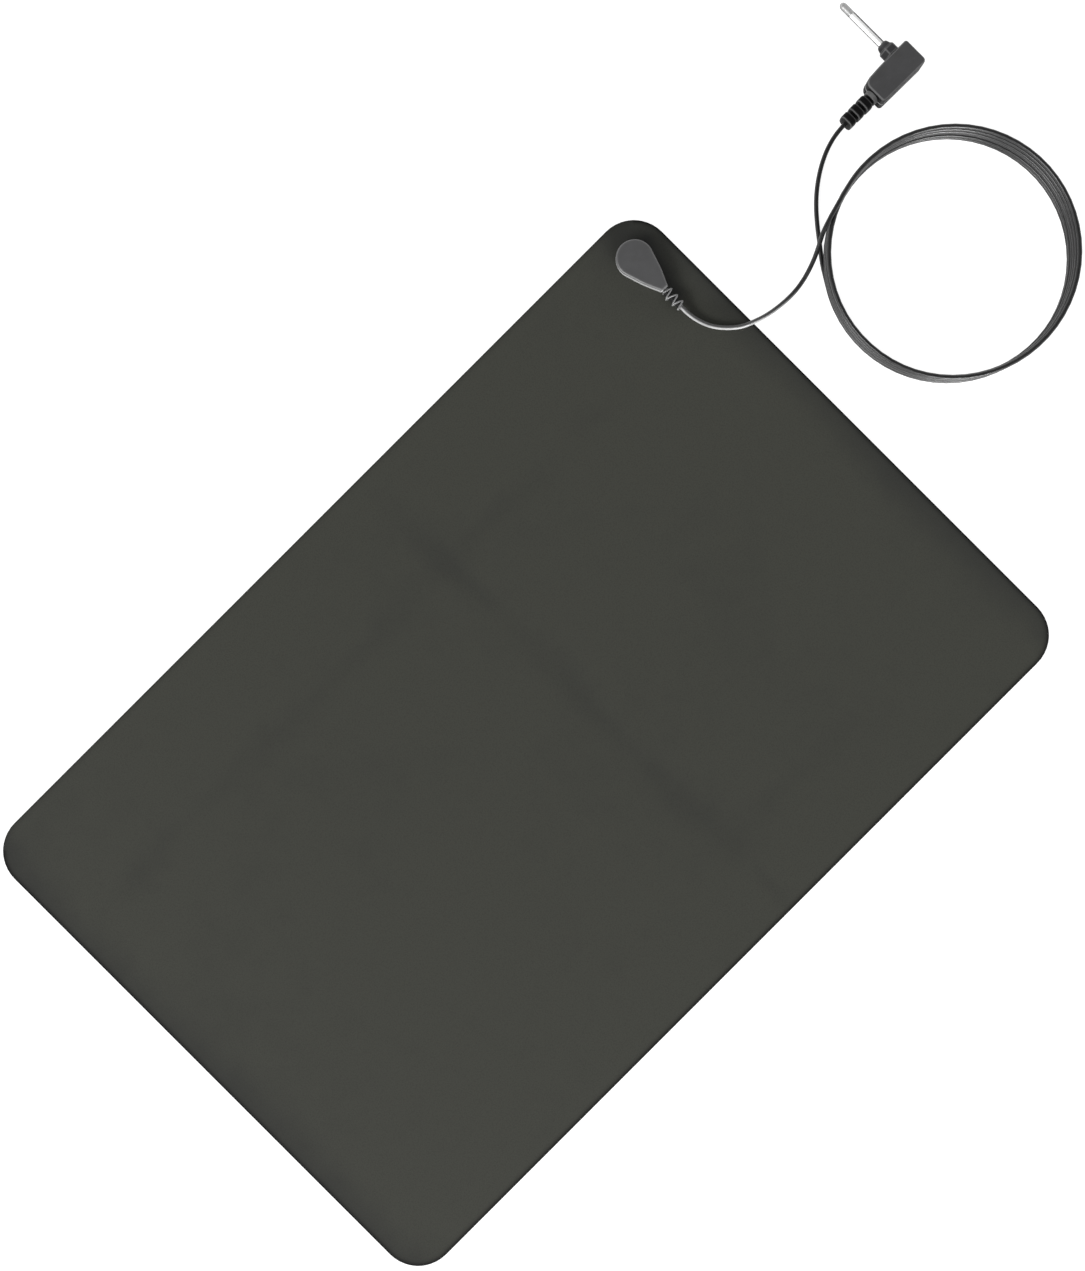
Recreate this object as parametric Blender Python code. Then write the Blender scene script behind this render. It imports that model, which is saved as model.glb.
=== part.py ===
"""A grounding mat lying flat, with its press-stud lead wound into a coil and ending in a one-pin plug.

Metres, +Z up. The origin is the middle of the mat's underside, on the surface that everything
rests on. +X runs along the mat's long side. The snap is near the mat's +X, +Y corner, and the
lead runs from it over the +X edge to a coil and a plug that lie beside the mat.
"""

import math

import bmesh
import bpy
import numpy as np
from mathutils import Vector

GAP = 0.0003
THIN_EDGE = 0.0002

# Mat: three sheets on each other
MAT_LENGTH = 0.600
MAT_WIDTH = 0.400
CORNER_RADIUS = 0.026
BACKING_THICKNESS = 0.0006
CORE_THICKNESS = 0.0010
FACE_THICKNESS = 0.0008
CORE_LOW = BACKING_THICKNESS + GAP
FACE_LOW = CORE_LOW + CORE_THICKNESS + GAP
MAT_TOP = FACE_LOW + FACE_THICKNESS

# Press stud in the mat's corner
SNAP_INSET = 0.027
SNAP = Vector((MAT_LENGTH / 2 - SNAP_INSET, MAT_WIDTH / 2 - SNAP_INSET, 0))
STUD_SHANK_RADIUS = 0.0025
STUD_BORE_RADIUS = 0.0017
STUD_FLANGE_RADIUS = 0.0050
STUD_FLANGE_THICKNESS = 0.0005
STUD_NECK_RADIUS = 0.0023
STUD_BULB_RADIUS = 0.0030
STUD_NECK_HEIGHT = 0.0006
STUD_TOP = 0.0060
STUD_CROWN = 0.0008
CAP_RADIUS = 0.0060
CAP_POST_RADIUS = 0.0014
CAP_POST_TOP = STUD_TOP - STUD_CROWN - GAP

# Snap connector: a drop-shaped head, its point towards -Y
HEAD_RADIUS = 0.0124
HEAD_LENGTH = 0.0280
NECK_HALF_WIDTH = 0.0029
HEAD_LOW = MAT_TOP + 0.0004
HEAD_SPLIT = 0.0092
HEAD_TOP = 0.0113
HEAD_WALL = 0.0013
HEAD_EDGE = 0.0009
HEAD_LOW_EDGE = 0.0005
HEAD_HOLE_RADIUS = 0.0057
LEAD_Z = 0.0067
SPIGOT_RADIUS = 0.0014
SPIGOT_LENGTH = 0.0033
SPIGOT_HOLE_RADIUS = 0.0017

# Socket of the snap, inside the head
SOCKET_RADIUS = 0.0053
SOCKET_BORE_RADIUS = 0.0037
SOCKET_GROOVE_RADIUS = 0.0047
SOCKET_LOW = MAT_TOP + GAP + STUD_FLANGE_THICKNESS + GAP
SOCKET_TOP = 0.0075
SOCKET_ROOF = 0.0005
SPRING_WIRE_RADIUS = 0.00025
SPRING_OFFSET = 0.00355
SPRING_LENGTH = 0.0050
SPRING_Z = 0.0051
SPRING_GROOVE = 0.0004
RIVET_SHANK_RADIUS = 0.0014
RIVET_HOLE_RADIUS = 0.0018
RIVET_FOOT_RADIUS = 0.0024
RIVET_FOOT_HEIGHT = 0.0004
RIVET_HEAD_RADIUS = 0.0025
RIVET_HEAD_HEIGHT = 0.0003
TERMINAL_LOW = SOCKET_TOP + GAP
TERMINAL_THICKNESS = 0.0005
TERMINAL_RADIUS = 0.0040
TONGUE_HALF_WIDTH = 0.0012
TONGUE_END = -0.0095
BARREL_Y = -0.0080
CRIMP_RADIUS = 0.0013
CRIMP_LENGTH = 0.0036
CRIMP_BORE_RADIUS = 0.0007
RESISTOR_Y = -0.0143
RESISTOR_RADIUS = 0.0012
RESISTOR_WAIST = 0.86 * RESISTOR_RADIUS
RESISTOR_LENGTH = 0.0063
RESISTOR_WIRE = 0.0042
WIRE_RADIUS = 0.0003
SLEEVE_Y = -0.0218
SLEEVE_RADIUS = 0.0012
CONDUCTOR_RADIUS = 0.0004
CONDUCTOR_END = 0.0225

# Ribbed strain relief on the head
RELIEF_START = HEAD_LENGTH + GAP
RELIEF_END = 0.0434
RELIEF_RIBS = 5
RELIEF_HALF_WIDTH = (0.0043, 0.0033)
RELIEF_HEIGHT_SHARE = 0.76
RELIEF_CORE_RADIUS = 0.0023

# Lead
CORD_DIAMETER = 0.0030
CORD_RADIUS = CORD_DIAMETER / 2
CORD_POINT_SPACING = 2.5 * CORD_DIAMETER
COIL_CENTRE = Vector((0.4192, 0.0293, 0))
COIL_RADIUS_LOW = 0.0797
COIL_RADIUS_HIGH = 0.0804
COIL_TURNS = 5.9
COIL_HEIGHT = COIL_TURNS * CORD_DIAMETER + CORD_DIAMETER

# The lead leaves the head, crosses the mat's edge, lies on the floor and climbs to the coil's top turn.
LEAD_ROUTE = (
    (0.2730, 0.1293, 0.0067),
    (0.2736, 0.1222, 0.0055),
    (0.2753, 0.1150, 0.0049),
    (0.2785, 0.1074, 0.0048),
    (0.2852, 0.0989, 0.0048),
    (0.2940, 0.0921, 0.0049),
    (0.3005, 0.0894, 0.0049),
    (0.3050, 0.0880, 0.0040),
    (0.3097, 0.0868, 0.0028),
    (0.3189, 0.0853, 0.0017),
    (0.3285, 0.0846, 0.0015),
    (0.3384, 0.0852, 0.0026),
    (0.3500, 0.0882, 0.0066),
    (0.3577, 0.0915, 0.0098),
    (0.3634, 0.0947, 0.0127),
    (0.3697, 0.0982, 0.0156),
    (0.3732, 0.0996, 0.0170),
)
# The lowest turn leaves the coil along the floor and rises to the plug's strain relief.
TAIL_ROUTE = (
    (0.3670, 0.0942, 0.0015),
    (0.3711, 0.0996, 0.0015),
    (0.3772, 0.1072, 0.0015),
    (0.3838, 0.1145, 0.0015),
    (0.3900, 0.1203, 0.0015),
    (0.3978, 0.1263, 0.0015),
    (0.4063, 0.1315, 0.0016),
    (0.4155, 0.1357, 0.0025),
    (0.4243, 0.1380, 0.0047),
    (0.4326, 0.1386, 0.0065),
)

# Plug: lies on its side, cord along +X, pin along +Y
PLUG_ORIGIN = Vector((0.4580, 0.1386, 0.0065))
PLUG_HALF_HEIGHT = 0.0065
PLUG_LENGTH = 0.0388
PLUG_WALL = 0.0015
PLUG_EDGE = 0.0009
PLUG_SEAM = 0.00015
PLUG_SIDE_Y = 0.0100
PLUG_RELIEF_END = 0.0251
PLUG_RELIEF_RADIUS = 0.0052
PLUG_RELIEF_CORE = 0.0033
PLUG_RELIEF_BLOCKS = 3
PLUG_RELIEF_BLOCK = 0.0052
PLUG_RELIEF_PITCH = 0.0073
PLUG_SPIGOT_RADIUS = 0.0032
PLUG_SPIGOT_LENGTH = 0.0024
PLUG_SPIGOT_RIM = 0.0010
PLUG_RELIEF_NECK = 0.0046
PLUG_RELIEF_NECK_END = 0.0030
PLUG_RELIEF_TAPER = 0.0001
PLUG_RELIEF_CORNER = 0.0006
PIN_X = 0.0283
PIN_RADIUS = 0.0024
PIN_REAR_RADIUS = 0.0022
PIN_TIP_Y = 0.0575
PIN_NOSE = 0.0030
PIN_REAR_Y = -0.0040
BARREL_RADIUS = 0.0020
BARREL_BORE_RADIUS = 0.0009
BARREL_LENGTH = 0.0070
COLLAR_RADIUS = 0.0061
COLLAR_EDGE = 0.0006
COLLAR_FACE_Y = 0.0164
COLLAR_END_Y = 0.0199
COLLAR_BOSS_RADIUS = 0.0036
COLLAR_NECK_RADIUS = 0.0036
COLLAR_HEEL_RADIUS = 0.0044
COLLAR_HEEL = 0.0018
OPENING_DEPTH = 0.0050


def clear_scene():
    for obj in list(bpy.data.objects):
        bpy.data.objects.remove(obj, do_unlink=True)


def material(name, colour, roughness, metallic=0.0):
    made = bpy.data.materials.new(name)
    made.use_nodes = True
    shader = made.node_tree.nodes["Principled BSDF"]
    shader.inputs["Base Color"].default_value = (*colour, 1.0)
    shader.inputs["Roughness"].default_value = roughness
    shader.inputs["Metallic"].default_value = metallic
    made.diffuse_color = (*colour, 1.0)
    return made


def pivot(name, at, parent=None):
    """An empty that pieces hang from. It marks a joint's axis."""
    empty = bpy.data.objects.new(name, None)
    empty.location = Vector(at) - (parent.location if parent else Vector())
    empty.parent = parent
    empty.empty_display_size = 0.02
    bpy.context.scene.collection.objects.link(empty)
    return empty


def add(name, data, finish, parent, at, turn=(0, 0, 0)):
    """An object at a place given in the mat's frame, under a pivot."""
    obj = bpy.data.objects.new(name, data)
    bpy.context.scene.collection.objects.link(obj)
    if finish:
        data.materials.append(finish)
    base = Vector()
    above = parent
    while above:
        base += above.location
        above = above.parent
    obj.parent = parent
    obj.location = Vector(at) - base
    obj.rotation_euler = turn
    return obj


def as_cutter(obj):
    obj.hide_render = True
    obj.display_type = "WIRE"
    return obj


def boolean(obj, other, operation="DIFFERENCE"):
    modifier = obj.modifiers.new(operation.title(), "BOOLEAN")
    modifier.operation = operation
    modifier.solver = "EXACT"
    modifier.object = as_cutter(other)


def arc(centre, radius, start, end, steps):
    """Points on an arc, both ends included. Angles are in degrees."""
    angles = np.radians(np.linspace(start, end, steps + 1))
    return [(centre[0] + radius * math.cos(a), centre[1] + radius * math.sin(a)) for a in angles]


def filleted(corners, steps=6):
    """An outline through (x, y, radius) corners, anticlockwise, each rounded to its radius."""
    outline = []
    for index, (x, y, radius) in enumerate(corners):
        here = Vector((x, y))
        before = (Vector(corners[index - 1][:2]) - here).normalized()
        after = (Vector(corners[(index + 1) % len(corners)][:2]) - here).normalized()
        half = before.angle(after) / 2
        centre = here + (before + after).normalized() * (radius / math.sin(half))
        first = here + before * (radius / math.tan(half)) - centre
        start = math.degrees(math.atan2(first.y, first.x))
        outline += arc(centre, radius, start, start + 180 - 2 * math.degrees(half), steps)
    return outline


def drop_outline(inset=0.0):
    """The head's plan: a circle at the snap, drawn out to a narrow neck at -Y."""
    radius = HEAD_RADIUS - inset
    neck = Vector((NECK_HALF_WIDTH - inset * 0.6, inset - HEAD_LENGTH))
    reach = math.asin(radius / neck.length)
    line = math.atan2(-neck.y, -neck.x) - reach
    start = math.degrees(line) - 90
    return [(-neck.x, neck.y), (neck.x, neck.y)] + arc((0, 0), radius, start, 180 - start, 26)


def slab(outline, low, high, edge=0.0, edge_at="top", edge_steps=3):
    """An outline made solid between two heights, with one of its rims rounded."""
    mesh = bmesh.new()
    face = mesh.faces.new([mesh.verts.new((x, y, low)) for x, y in outline])
    grown = bmesh.ops.extrude_face_region(mesh, geom=[face])["geom"]
    raised = [part for part in grown if isinstance(part, bmesh.types.BMVert)]
    bmesh.ops.translate(mesh, verts=raised, vec=(0, 0, high - low))
    bmesh.ops.recalc_face_normals(mesh, faces=mesh.faces)
    if edge:
        level = high if edge_at == "top" else low
        rim = [e for e in mesh.edges if all(abs(v.co.z - level) < 1e-7 for v in e.verts)]
        bmesh.ops.bevel(mesh, geom=rim, offset=edge, segments=edge_steps, profile=0.5, affect="EDGES")
    return finished(mesh)


def turned(profile, steps=24):
    """A solid of revolution about Z from (radius, z) points. A profile off the axis makes a ring."""
    mesh = bmesh.new()
    rings = []
    for radius, z in profile:
        count = 1 if radius < 1e-7 else steps
        angles = [2 * math.pi * step / steps for step in range(count)]
        rings.append([mesh.verts.new((radius * math.cos(a), radius * math.sin(a), z)) for a in angles])
    pairs = list(zip(rings, rings[1:]))
    if len(rings[0]) > 1:
        pairs.append((rings[-1], rings[0]))
    for lower, upper in pairs:
        for step in range(steps):
            after = (step + 1) % steps
            corners = [
                lower[step % len(lower)],
                lower[after % len(lower)],
                upper[after % len(upper)],
                upper[step % len(upper)],
            ]
            mesh.faces.new(list(dict.fromkeys(corners)))
    bmesh.ops.recalc_face_normals(mesh, faces=mesh.faces)
    return finished(mesh)


def finished(mesh):
    data = bpy.data.meshes.new("shape")
    mesh.to_mesh(data)
    mesh.free()
    data.shade_smooth()
    data.set_sharp_from_angle(angle=math.radians(35))
    return data


def rod(radius, length, steps=24):
    """A plain cylinder along Z, centred."""
    return turned(((0, -length / 2), (radius, -length / 2), (radius, length / 2), (0, length / 2)), steps)


def smooth_route(route, spacing):
    """Evenly spaced points on the natural cubic spline through a route."""
    points = np.array(route)
    knots = np.concatenate([[0], np.cumsum(np.linalg.norm(np.diff(points, axis=0), axis=1))])
    step = np.diff(knots)
    count = len(points)
    left = np.eye(count)
    right = np.zeros((count, 3))
    for i in range(1, count - 1):
        left[i, i - 1 : i + 2] = step[i - 1], 2 * (step[i - 1] + step[i]), step[i]
        slopes = (points[i + 1] - points[i]) / step[i] - (points[i] - points[i - 1]) / step[i - 1]
        right[i] = 6 * slopes
    bend = np.linalg.solve(left, right)
    wanted = np.linspace(0, knots[-1], max(2, round(knots[-1] / spacing) + 1))
    found = []
    for where in wanted:
        i = min(int(np.searchsorted(knots, where, side="right")) - 1, count - 2)
        a, b, h = knots[i + 1] - where, where - knots[i], step[i]
        place = (a**3 * bend[i] + b**3 * bend[i + 1]) / (6 * h)
        place += (points[i] / h - bend[i] * h / 6) * a + (points[i + 1] / h - bend[i + 1] * h / 6) * b
        found.append(Vector((place[0], place[1], max(place[2], CORD_RADIUS))))
    return found


def tube(name, points, radius, resolution, finish, parent, at):
    """A round bar along points given in the mat's frame."""
    data = bpy.data.curves.new(name, "CURVE")
    data.dimensions = "3D"
    data.bevel_depth = radius
    data.bevel_resolution = resolution
    data.use_fill_caps = True
    spline = data.splines.new("POLY")
    spline.points.add(len(points) - 1)
    for point, place in zip(spline.points, points):
        point.co = (*(Vector(place) - Vector(at)), 1)
    return add(name, data, finish, parent, at)


# Mat


def mat_sheet(name, low, thickness, hole_radius, finish, root):
    half_x = MAT_LENGTH / 2
    half_y = MAT_WIDTH / 2
    corners = [
        (x, y, CORNER_RADIUS)
        for x, y in ((half_x, -half_y), (half_x, half_y), (-half_x, half_y), (-half_x, -half_y))
    ]
    sheet = add(name, slab(filleted(corners, 12), low, low + thickness), finish, root, (0, 0, 0))
    hole = add(name + "_hole", rod(hole_radius, 4 * thickness), None, root, SNAP)
    hole.location.z = low + thickness / 2
    boolean(sheet, hole)


def snap_stud(finish, root):
    flange_low = MAT_TOP + GAP
    flange_high = flange_low + STUD_FLANGE_THICKNESS
    low = CORE_LOW + GAP
    profile = (
        (0, STUD_TOP - STUD_CROWN),
        (STUD_BORE_RADIUS, STUD_TOP - STUD_CROWN),
        (STUD_BORE_RADIUS, low),
        (STUD_SHANK_RADIUS, low),
        (STUD_SHANK_RADIUS, flange_low),
        (STUD_FLANGE_RADIUS, flange_low),
        (STUD_FLANGE_RADIUS, flange_low + THIN_EDGE),
        (STUD_FLANGE_RADIUS - THIN_EDGE, flange_high),
        (STUD_NECK_RADIUS, flange_high),
        (STUD_NECK_RADIUS, flange_high + STUD_NECK_HEIGHT),
        (STUD_BULB_RADIUS - THIN_EDGE, STUD_TOP - 0.0013),
        (STUD_BULB_RADIUS, STUD_TOP - 0.0009),
        (STUD_BULB_RADIUS - 0.0004, STUD_TOP - 0.0003),
        (STUD_BULB_RADIUS - 0.0012, STUD_TOP),
        (0, STUD_TOP),
    )
    add("snap_stud", turned(profile), finish, root, SNAP)


def stud_back_cap(finish, root):
    """The rivet that clamps the stud from below: a flat cap, its post inside the stud's bore."""
    top = BACKING_THICKNESS
    profile = (
        (0, 0),
        (CAP_RADIUS - THIN_EDGE, 0),
        (CAP_RADIUS, THIN_EDGE),
        (CAP_RADIUS, top),
        (CAP_POST_RADIUS, top),
        (CAP_POST_RADIUS, CAP_POST_TOP - THIN_EDGE),
        (CAP_POST_RADIUS - THIN_EDGE, CAP_POST_TOP),
        (0, CAP_POST_TOP),
    )
    add("stud_back_cap", turned(profile), finish, root, SNAP)


# Snap connector


def connector_base(finish, pivot_at):
    """The lower shell: a drop-shaped tray with a round hole for the socket and one for the cord."""
    floor = HEAD_LOW + HEAD_WALL
    shell = slab(drop_outline(), HEAD_LOW, HEAD_SPLIT, HEAD_LOW_EDGE, "bottom", 2)
    base = add("connector_base", shell, finish, pivot_at, SNAP)
    room = slab(drop_outline(HEAD_WALL), floor, HEAD_SPLIT + HEAD_WALL)
    boolean(base, add("base_room", room, None, pivot_at, SNAP))
    hole = add("base_hole", rod(HEAD_HOLE_RADIUS, 4 * HEAD_WALL), None, pivot_at, SNAP)
    hole.location.z = HEAD_LOW
    boolean(base, hole)
    neck = add("base_neck", rod(SPIGOT_HOLE_RADIUS, 6 * HEAD_WALL, 16), None, pivot_at, SNAP)
    neck.location += Vector((0, -HEAD_LENGTH, LEAD_Z))
    neck.rotation_euler = (math.radians(90), 0, 0)
    boolean(base, neck)


def connector_cover(finish, pivot_at):
    shell = slab(drop_outline(), HEAD_SPLIT + GAP, HEAD_TOP, HEAD_EDGE, "top", 4)
    add("connector_cover", shell, finish, pivot_at, SNAP)


def snap_socket(finish, pivot_at):
    """A turned cup, open below, with a groove for its springs and a hole above for its rivet."""
    groove_low = SPRING_Z - SPRING_GROOVE
    groove_high = SPRING_Z + SPRING_GROOVE
    profile = (
        (SOCKET_BORE_RADIUS, SOCKET_LOW),
        (SOCKET_RADIUS - THIN_EDGE, SOCKET_LOW),
        (SOCKET_RADIUS, SOCKET_LOW + THIN_EDGE),
        (SOCKET_RADIUS, SOCKET_TOP - SOCKET_ROOF),
        (SOCKET_RADIUS - SOCKET_ROOF, SOCKET_TOP),
        (RIVET_HOLE_RADIUS, SOCKET_TOP),
        (RIVET_HOLE_RADIUS, SOCKET_TOP - SOCKET_ROOF),
        (SOCKET_BORE_RADIUS, SOCKET_TOP - SOCKET_ROOF),
        (SOCKET_BORE_RADIUS, groove_high),
        (SOCKET_GROOVE_RADIUS, groove_high),
        (SOCKET_GROOVE_RADIUS, groove_low),
        (SOCKET_BORE_RADIUS, groove_low),
    )
    add("snap_socket", turned(profile), finish, pivot_at, SNAP)


def socket_springs(finish, pivot_at):
    """Two straight wires, one on each side of the bore."""
    for side, name in ((-1, "socket_spring_left"), (1, "socket_spring_right")):
        wire = rod(SPRING_WIRE_RADIUS, SPRING_LENGTH, 8)
        at = SNAP + Vector((side * SPRING_OFFSET, 0, SPRING_Z))
        add(name, wire, finish, pivot_at, at, (math.radians(90), 0, 0))


def socket_rivet(finish, pivot_at):
    """It clamps the terminal on the socket: a shank through both, with a head at each end."""
    low = SOCKET_TOP - SOCKET_ROOF - GAP - RIVET_FOOT_HEIGHT
    high = TERMINAL_LOW + TERMINAL_THICKNESS + GAP
    profile = (
        (0, low),
        (RIVET_FOOT_RADIUS - THIN_EDGE, low),
        (RIVET_FOOT_RADIUS, low + RIVET_FOOT_HEIGHT),
        (RIVET_SHANK_RADIUS, low + RIVET_FOOT_HEIGHT),
        (RIVET_SHANK_RADIUS, high),
        (RIVET_HEAD_RADIUS, high),
        (RIVET_HEAD_RADIUS - THIN_EDGE, high + RIVET_HEAD_HEIGHT),
        (0, high + RIVET_HEAD_HEIGHT),
    )
    add("socket_rivet", turned(profile, 20), finish, pivot_at, SNAP)


def ring_terminal(finish, pivot_at):
    """A flat ring round the rivet, a tongue and a crimp barrel for the resistor's wire."""
    start = math.degrees(math.asin(TONGUE_HALF_WIDTH / TERMINAL_RADIUS))
    tongue = [(-TONGUE_HALF_WIDTH, TONGUE_END), (TONGUE_HALF_WIDTH, TONGUE_END)]
    outline = tongue + arc((0, 0), TERMINAL_RADIUS, start - 90, 270 - start, 24)
    plate = slab(outline, TERMINAL_LOW, TERMINAL_LOW + TERMINAL_THICKNESS)
    terminal = add("ring_terminal", plate, finish, pivot_at, SNAP)
    hole = add("terminal_hole", rod(RIVET_HOLE_RADIUS, 8 * TERMINAL_THICKNESS), None, pivot_at, SNAP)
    hole.location.z = TERMINAL_LOW
    boolean(terminal, hole)
    at = SNAP + Vector((0, BARREL_Y, LEAD_Z))
    across = (math.radians(90), 0, 0)
    barrel = rod(CRIMP_RADIUS, CRIMP_LENGTH, 16)
    bore = rod(CRIMP_BORE_RADIUS, 2 * CRIMP_LENGTH, 12)
    boolean(terminal, add("terminal_barrel", barrel, None, pivot_at, at, across), "UNION")
    boolean(terminal, add("terminal_bore", bore, None, pivot_at, at, across))


def resistor(finish, pivot_at):
    """The current-limiting resistor: a round body on two stiff wires, along Y."""
    half = RESISTOR_LENGTH / 2
    end = half + RESISTOR_WIRE
    profile = (
        (0, -end),
        (WIRE_RADIUS, -end),
        (WIRE_RADIUS, -half),
        (RESISTOR_RADIUS - 0.0003, -half),
        (RESISTOR_RADIUS, -half + 0.0004),
        (RESISTOR_RADIUS, -half + 0.0014),
        (RESISTOR_WAIST, -half + 0.0018),
        (RESISTOR_WAIST, half - 0.0018),
        (RESISTOR_RADIUS, half - 0.0014),
        (RESISTOR_RADIUS, half - 0.0004),
        (RESISTOR_RADIUS - 0.0003, half),
        (WIRE_RADIUS, half),
        (WIRE_RADIUS, end),
        (0, end),
    )
    at = SNAP + Vector((0, RESISTOR_Y, LEAD_Z))
    add("resistor", turned(profile, 16), finish, pivot_at, at, (math.radians(-90), 0, 0))


def crimp_sleeve(finish, pivot_at):
    """A short tube that joins the resistor's wire to the lead's conductor."""
    inner, outer, half = CRIMP_BORE_RADIUS, SLEEVE_RADIUS, CRIMP_LENGTH / 2
    profile = ((inner, -half), (outer, -half), (outer, half), (inner, half))
    at = SNAP + Vector((0, SLEEVE_Y, LEAD_Z))
    add("crimp_sleeve", turned(profile, 16), finish, pivot_at, at, (math.radians(90), 0, 0))


def lead_conductor(finish, pivot_at):
    """The bare end of the lead's conductor, between the strain relief and the crimp sleeve."""
    near = RELIEF_START - SPIGOT_LENGTH - GAP
    at = SNAP + Vector((0, -(near + CONDUCTOR_END) / 2, LEAD_Z))
    wire = rod(CONDUCTOR_RADIUS, near - CONDUCTOR_END, 10)
    add("lead_conductor", wire, finish, pivot_at, at, (math.radians(90), 0, 0))


def ribbed_profile(length, ribs, widths, core, rib_share):
    """(radius, distance) steps of a core with square ribs, the first rib at the start."""
    pitch = length / (ribs - 1 + rib_share)
    profile = []
    for rib in range(ribs):
        start = rib * pitch
        radius = widths[0] + (widths[1] - widths[0]) * rib / (ribs - 1)
        corner = 0.12 * pitch * rib_share
        finish = start + pitch * rib_share
        profile += [(core, start)] if rib else [(0, start)]
        profile += [(radius - corner, start), (radius, start + corner)]
        profile += [(radius, finish - corner), (radius - corner, finish)]
        profile += [(core, finish)] if rib < ribs - 1 else [(0, finish)]
    return profile


def connector_strain_relief(finish, pivot_at):
    """Flattened ribs on a core, with a spigot that reaches through the base's end wall."""
    length = RELIEF_END - RELIEF_START
    profile = ribbed_profile(length, RELIEF_RIBS, RELIEF_HALF_WIDTH, RELIEF_CORE_RADIUS, 0.5)
    spigot = [(0, -SPIGOT_LENGTH), (SPIGOT_RADIUS, -SPIGOT_LENGTH), (SPIGOT_RADIUS, -GAP / 2)]
    ribs = [(radius * RELIEF_HEIGHT_SHARE, z) for radius, z in profile[1:]]
    shape = turned(spigot + ribs, 24)
    for vertex in shape.vertices:
        if vertex.co.z > -GAP / 4:
            vertex.co.x /= RELIEF_HEIGHT_SHARE
    at = SNAP + Vector((0, -RELIEF_START, LEAD_Z))
    add("connector_strain_relief", shape, finish, pivot_at, at, (math.radians(90), 0, 0))


# Lead


def cord_lead(finish, pivot_at):
    points = smooth_route(LEAD_ROUTE, CORD_POINT_SPACING)
    tube("cord_lead", points, CORD_RADIUS, 2, finish, pivot_at, SNAP)


def cord_coil(finish, pivot_at):
    """The outer shape of the wound turns, one on another, a little wider at the top."""
    profile = (
        (COIL_RADIUS_LOW - CORD_RADIUS, 0),
        (COIL_RADIUS_LOW + CORD_RADIUS, 0),
        (COIL_RADIUS_HIGH + CORD_RADIUS, COIL_HEIGHT),
        (COIL_RADIUS_HIGH - CORD_RADIUS, COIL_HEIGHT),
    )
    add("cord_coil", turned(profile, 96), finish, pivot_at, COIL_CENTRE)


def cord_tail(finish, pivot_at):
    points = smooth_route(TAIL_ROUTE, CORD_POINT_SPACING)
    tube("cord_tail", points, CORD_RADIUS, 2, finish, pivot_at, SNAP)


# Plug


def plug_outline(inset=0.0):
    """The plug's plan from its cord end: square at the far end, drawn in where the cord enters."""
    corners = (
        (inset, inset - 0.0086, 0.0022),
        (PLUG_LENGTH - inset, inset - 0.0090, 0.0028),
        (PLUG_LENGTH - inset, PLUG_SIDE_Y - inset, 0.0018),
        (0.0150, PLUG_SIDE_Y - inset, 0.0200),
        (0.0028 + inset / 2, 0.0093 - inset, 0.0060),
        (inset, 0.0062 - inset / 2, 0.0040),
    )
    corners = [(x, y, max(radius - inset, 0.0005)) for x, y, radius in corners]
    return filleted(corners, 5)


def plug_shells(finish, pivot_at):
    """Two half shells that meet at the pin's height, cut for the strain relief and the collar."""
    for side, name in ((-1, "plug_shell_lower"), (1, "plug_shell_upper")):
        outer, inner = PLUG_HALF_HEIGHT, PLUG_HALF_HEIGHT - PLUG_WALL
        low, high = (PLUG_SEAM, outer) if side > 0 else (-outer, -PLUG_SEAM)
        edge_at = "top" if side > 0 else "bottom"
        shape = slab(plug_outline(), low, high, PLUG_EDGE, edge_at, 3)
        shell = add(name, shape, finish, pivot_at, PLUG_ORIGIN)
        room_low, room_high = (-PLUG_WALL, inner) if side > 0 else (-inner, PLUG_WALL)
        room = slab(plug_outline(PLUG_WALL), room_low, room_high)
        boolean(shell, add(name + "_room", room, None, pivot_at, PLUG_ORIGIN))
        gland = rod(PLUG_SPIGOT_RADIUS + GAP, OPENING_DEPTH)
        boolean(shell, add(name + "_gland", gland, None, pivot_at, PLUG_ORIGIN, (0, math.radians(90), 0)))
        port = rod(COLLAR_NECK_RADIUS + GAP, OPENING_DEPTH)
        at = PLUG_ORIGIN + Vector((PIN_X, PLUG_SIDE_Y, 0))
        boolean(shell, add(name + "_port", port, None, pivot_at, at, (math.radians(90), 0, 0)))


def pin_collar(finish, pivot_at):
    """The insulating collar round the pin, gripped by the shells and stepped down to a boss."""
    bore = PIN_RADIUS + GAP
    inner_face = PLUG_SIDE_Y - PLUG_WALL - GAP
    outer_face = PLUG_SIDE_Y + GAP
    profile = (
        (bore, inner_face - COLLAR_HEEL),
        (COLLAR_HEEL_RADIUS, inner_face - COLLAR_HEEL),
        (COLLAR_HEEL_RADIUS, inner_face),
        (COLLAR_NECK_RADIUS, inner_face),
        (COLLAR_NECK_RADIUS, outer_face),
        (COLLAR_RADIUS - COLLAR_EDGE, outer_face),
        (COLLAR_RADIUS, outer_face + COLLAR_EDGE),
        (COLLAR_RADIUS, COLLAR_FACE_Y - COLLAR_EDGE),
        (COLLAR_RADIUS - COLLAR_EDGE, COLLAR_FACE_Y),
        (COLLAR_BOSS_RADIUS + COLLAR_EDGE, COLLAR_FACE_Y + COLLAR_EDGE / 2),
        (COLLAR_BOSS_RADIUS, COLLAR_FACE_Y + 2 * COLLAR_EDGE),
        (COLLAR_BOSS_RADIUS, COLLAR_END_Y - COLLAR_EDGE),
        (COLLAR_BOSS_RADIUS - COLLAR_EDGE, COLLAR_END_Y),
        (bore, COLLAR_END_Y),
    )
    at = PLUG_ORIGIN + Vector((PIN_X, 0, 0))
    add("pin_collar", turned(profile, 32), finish, pivot_at, at, (math.radians(-90), 0, 0))


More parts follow.
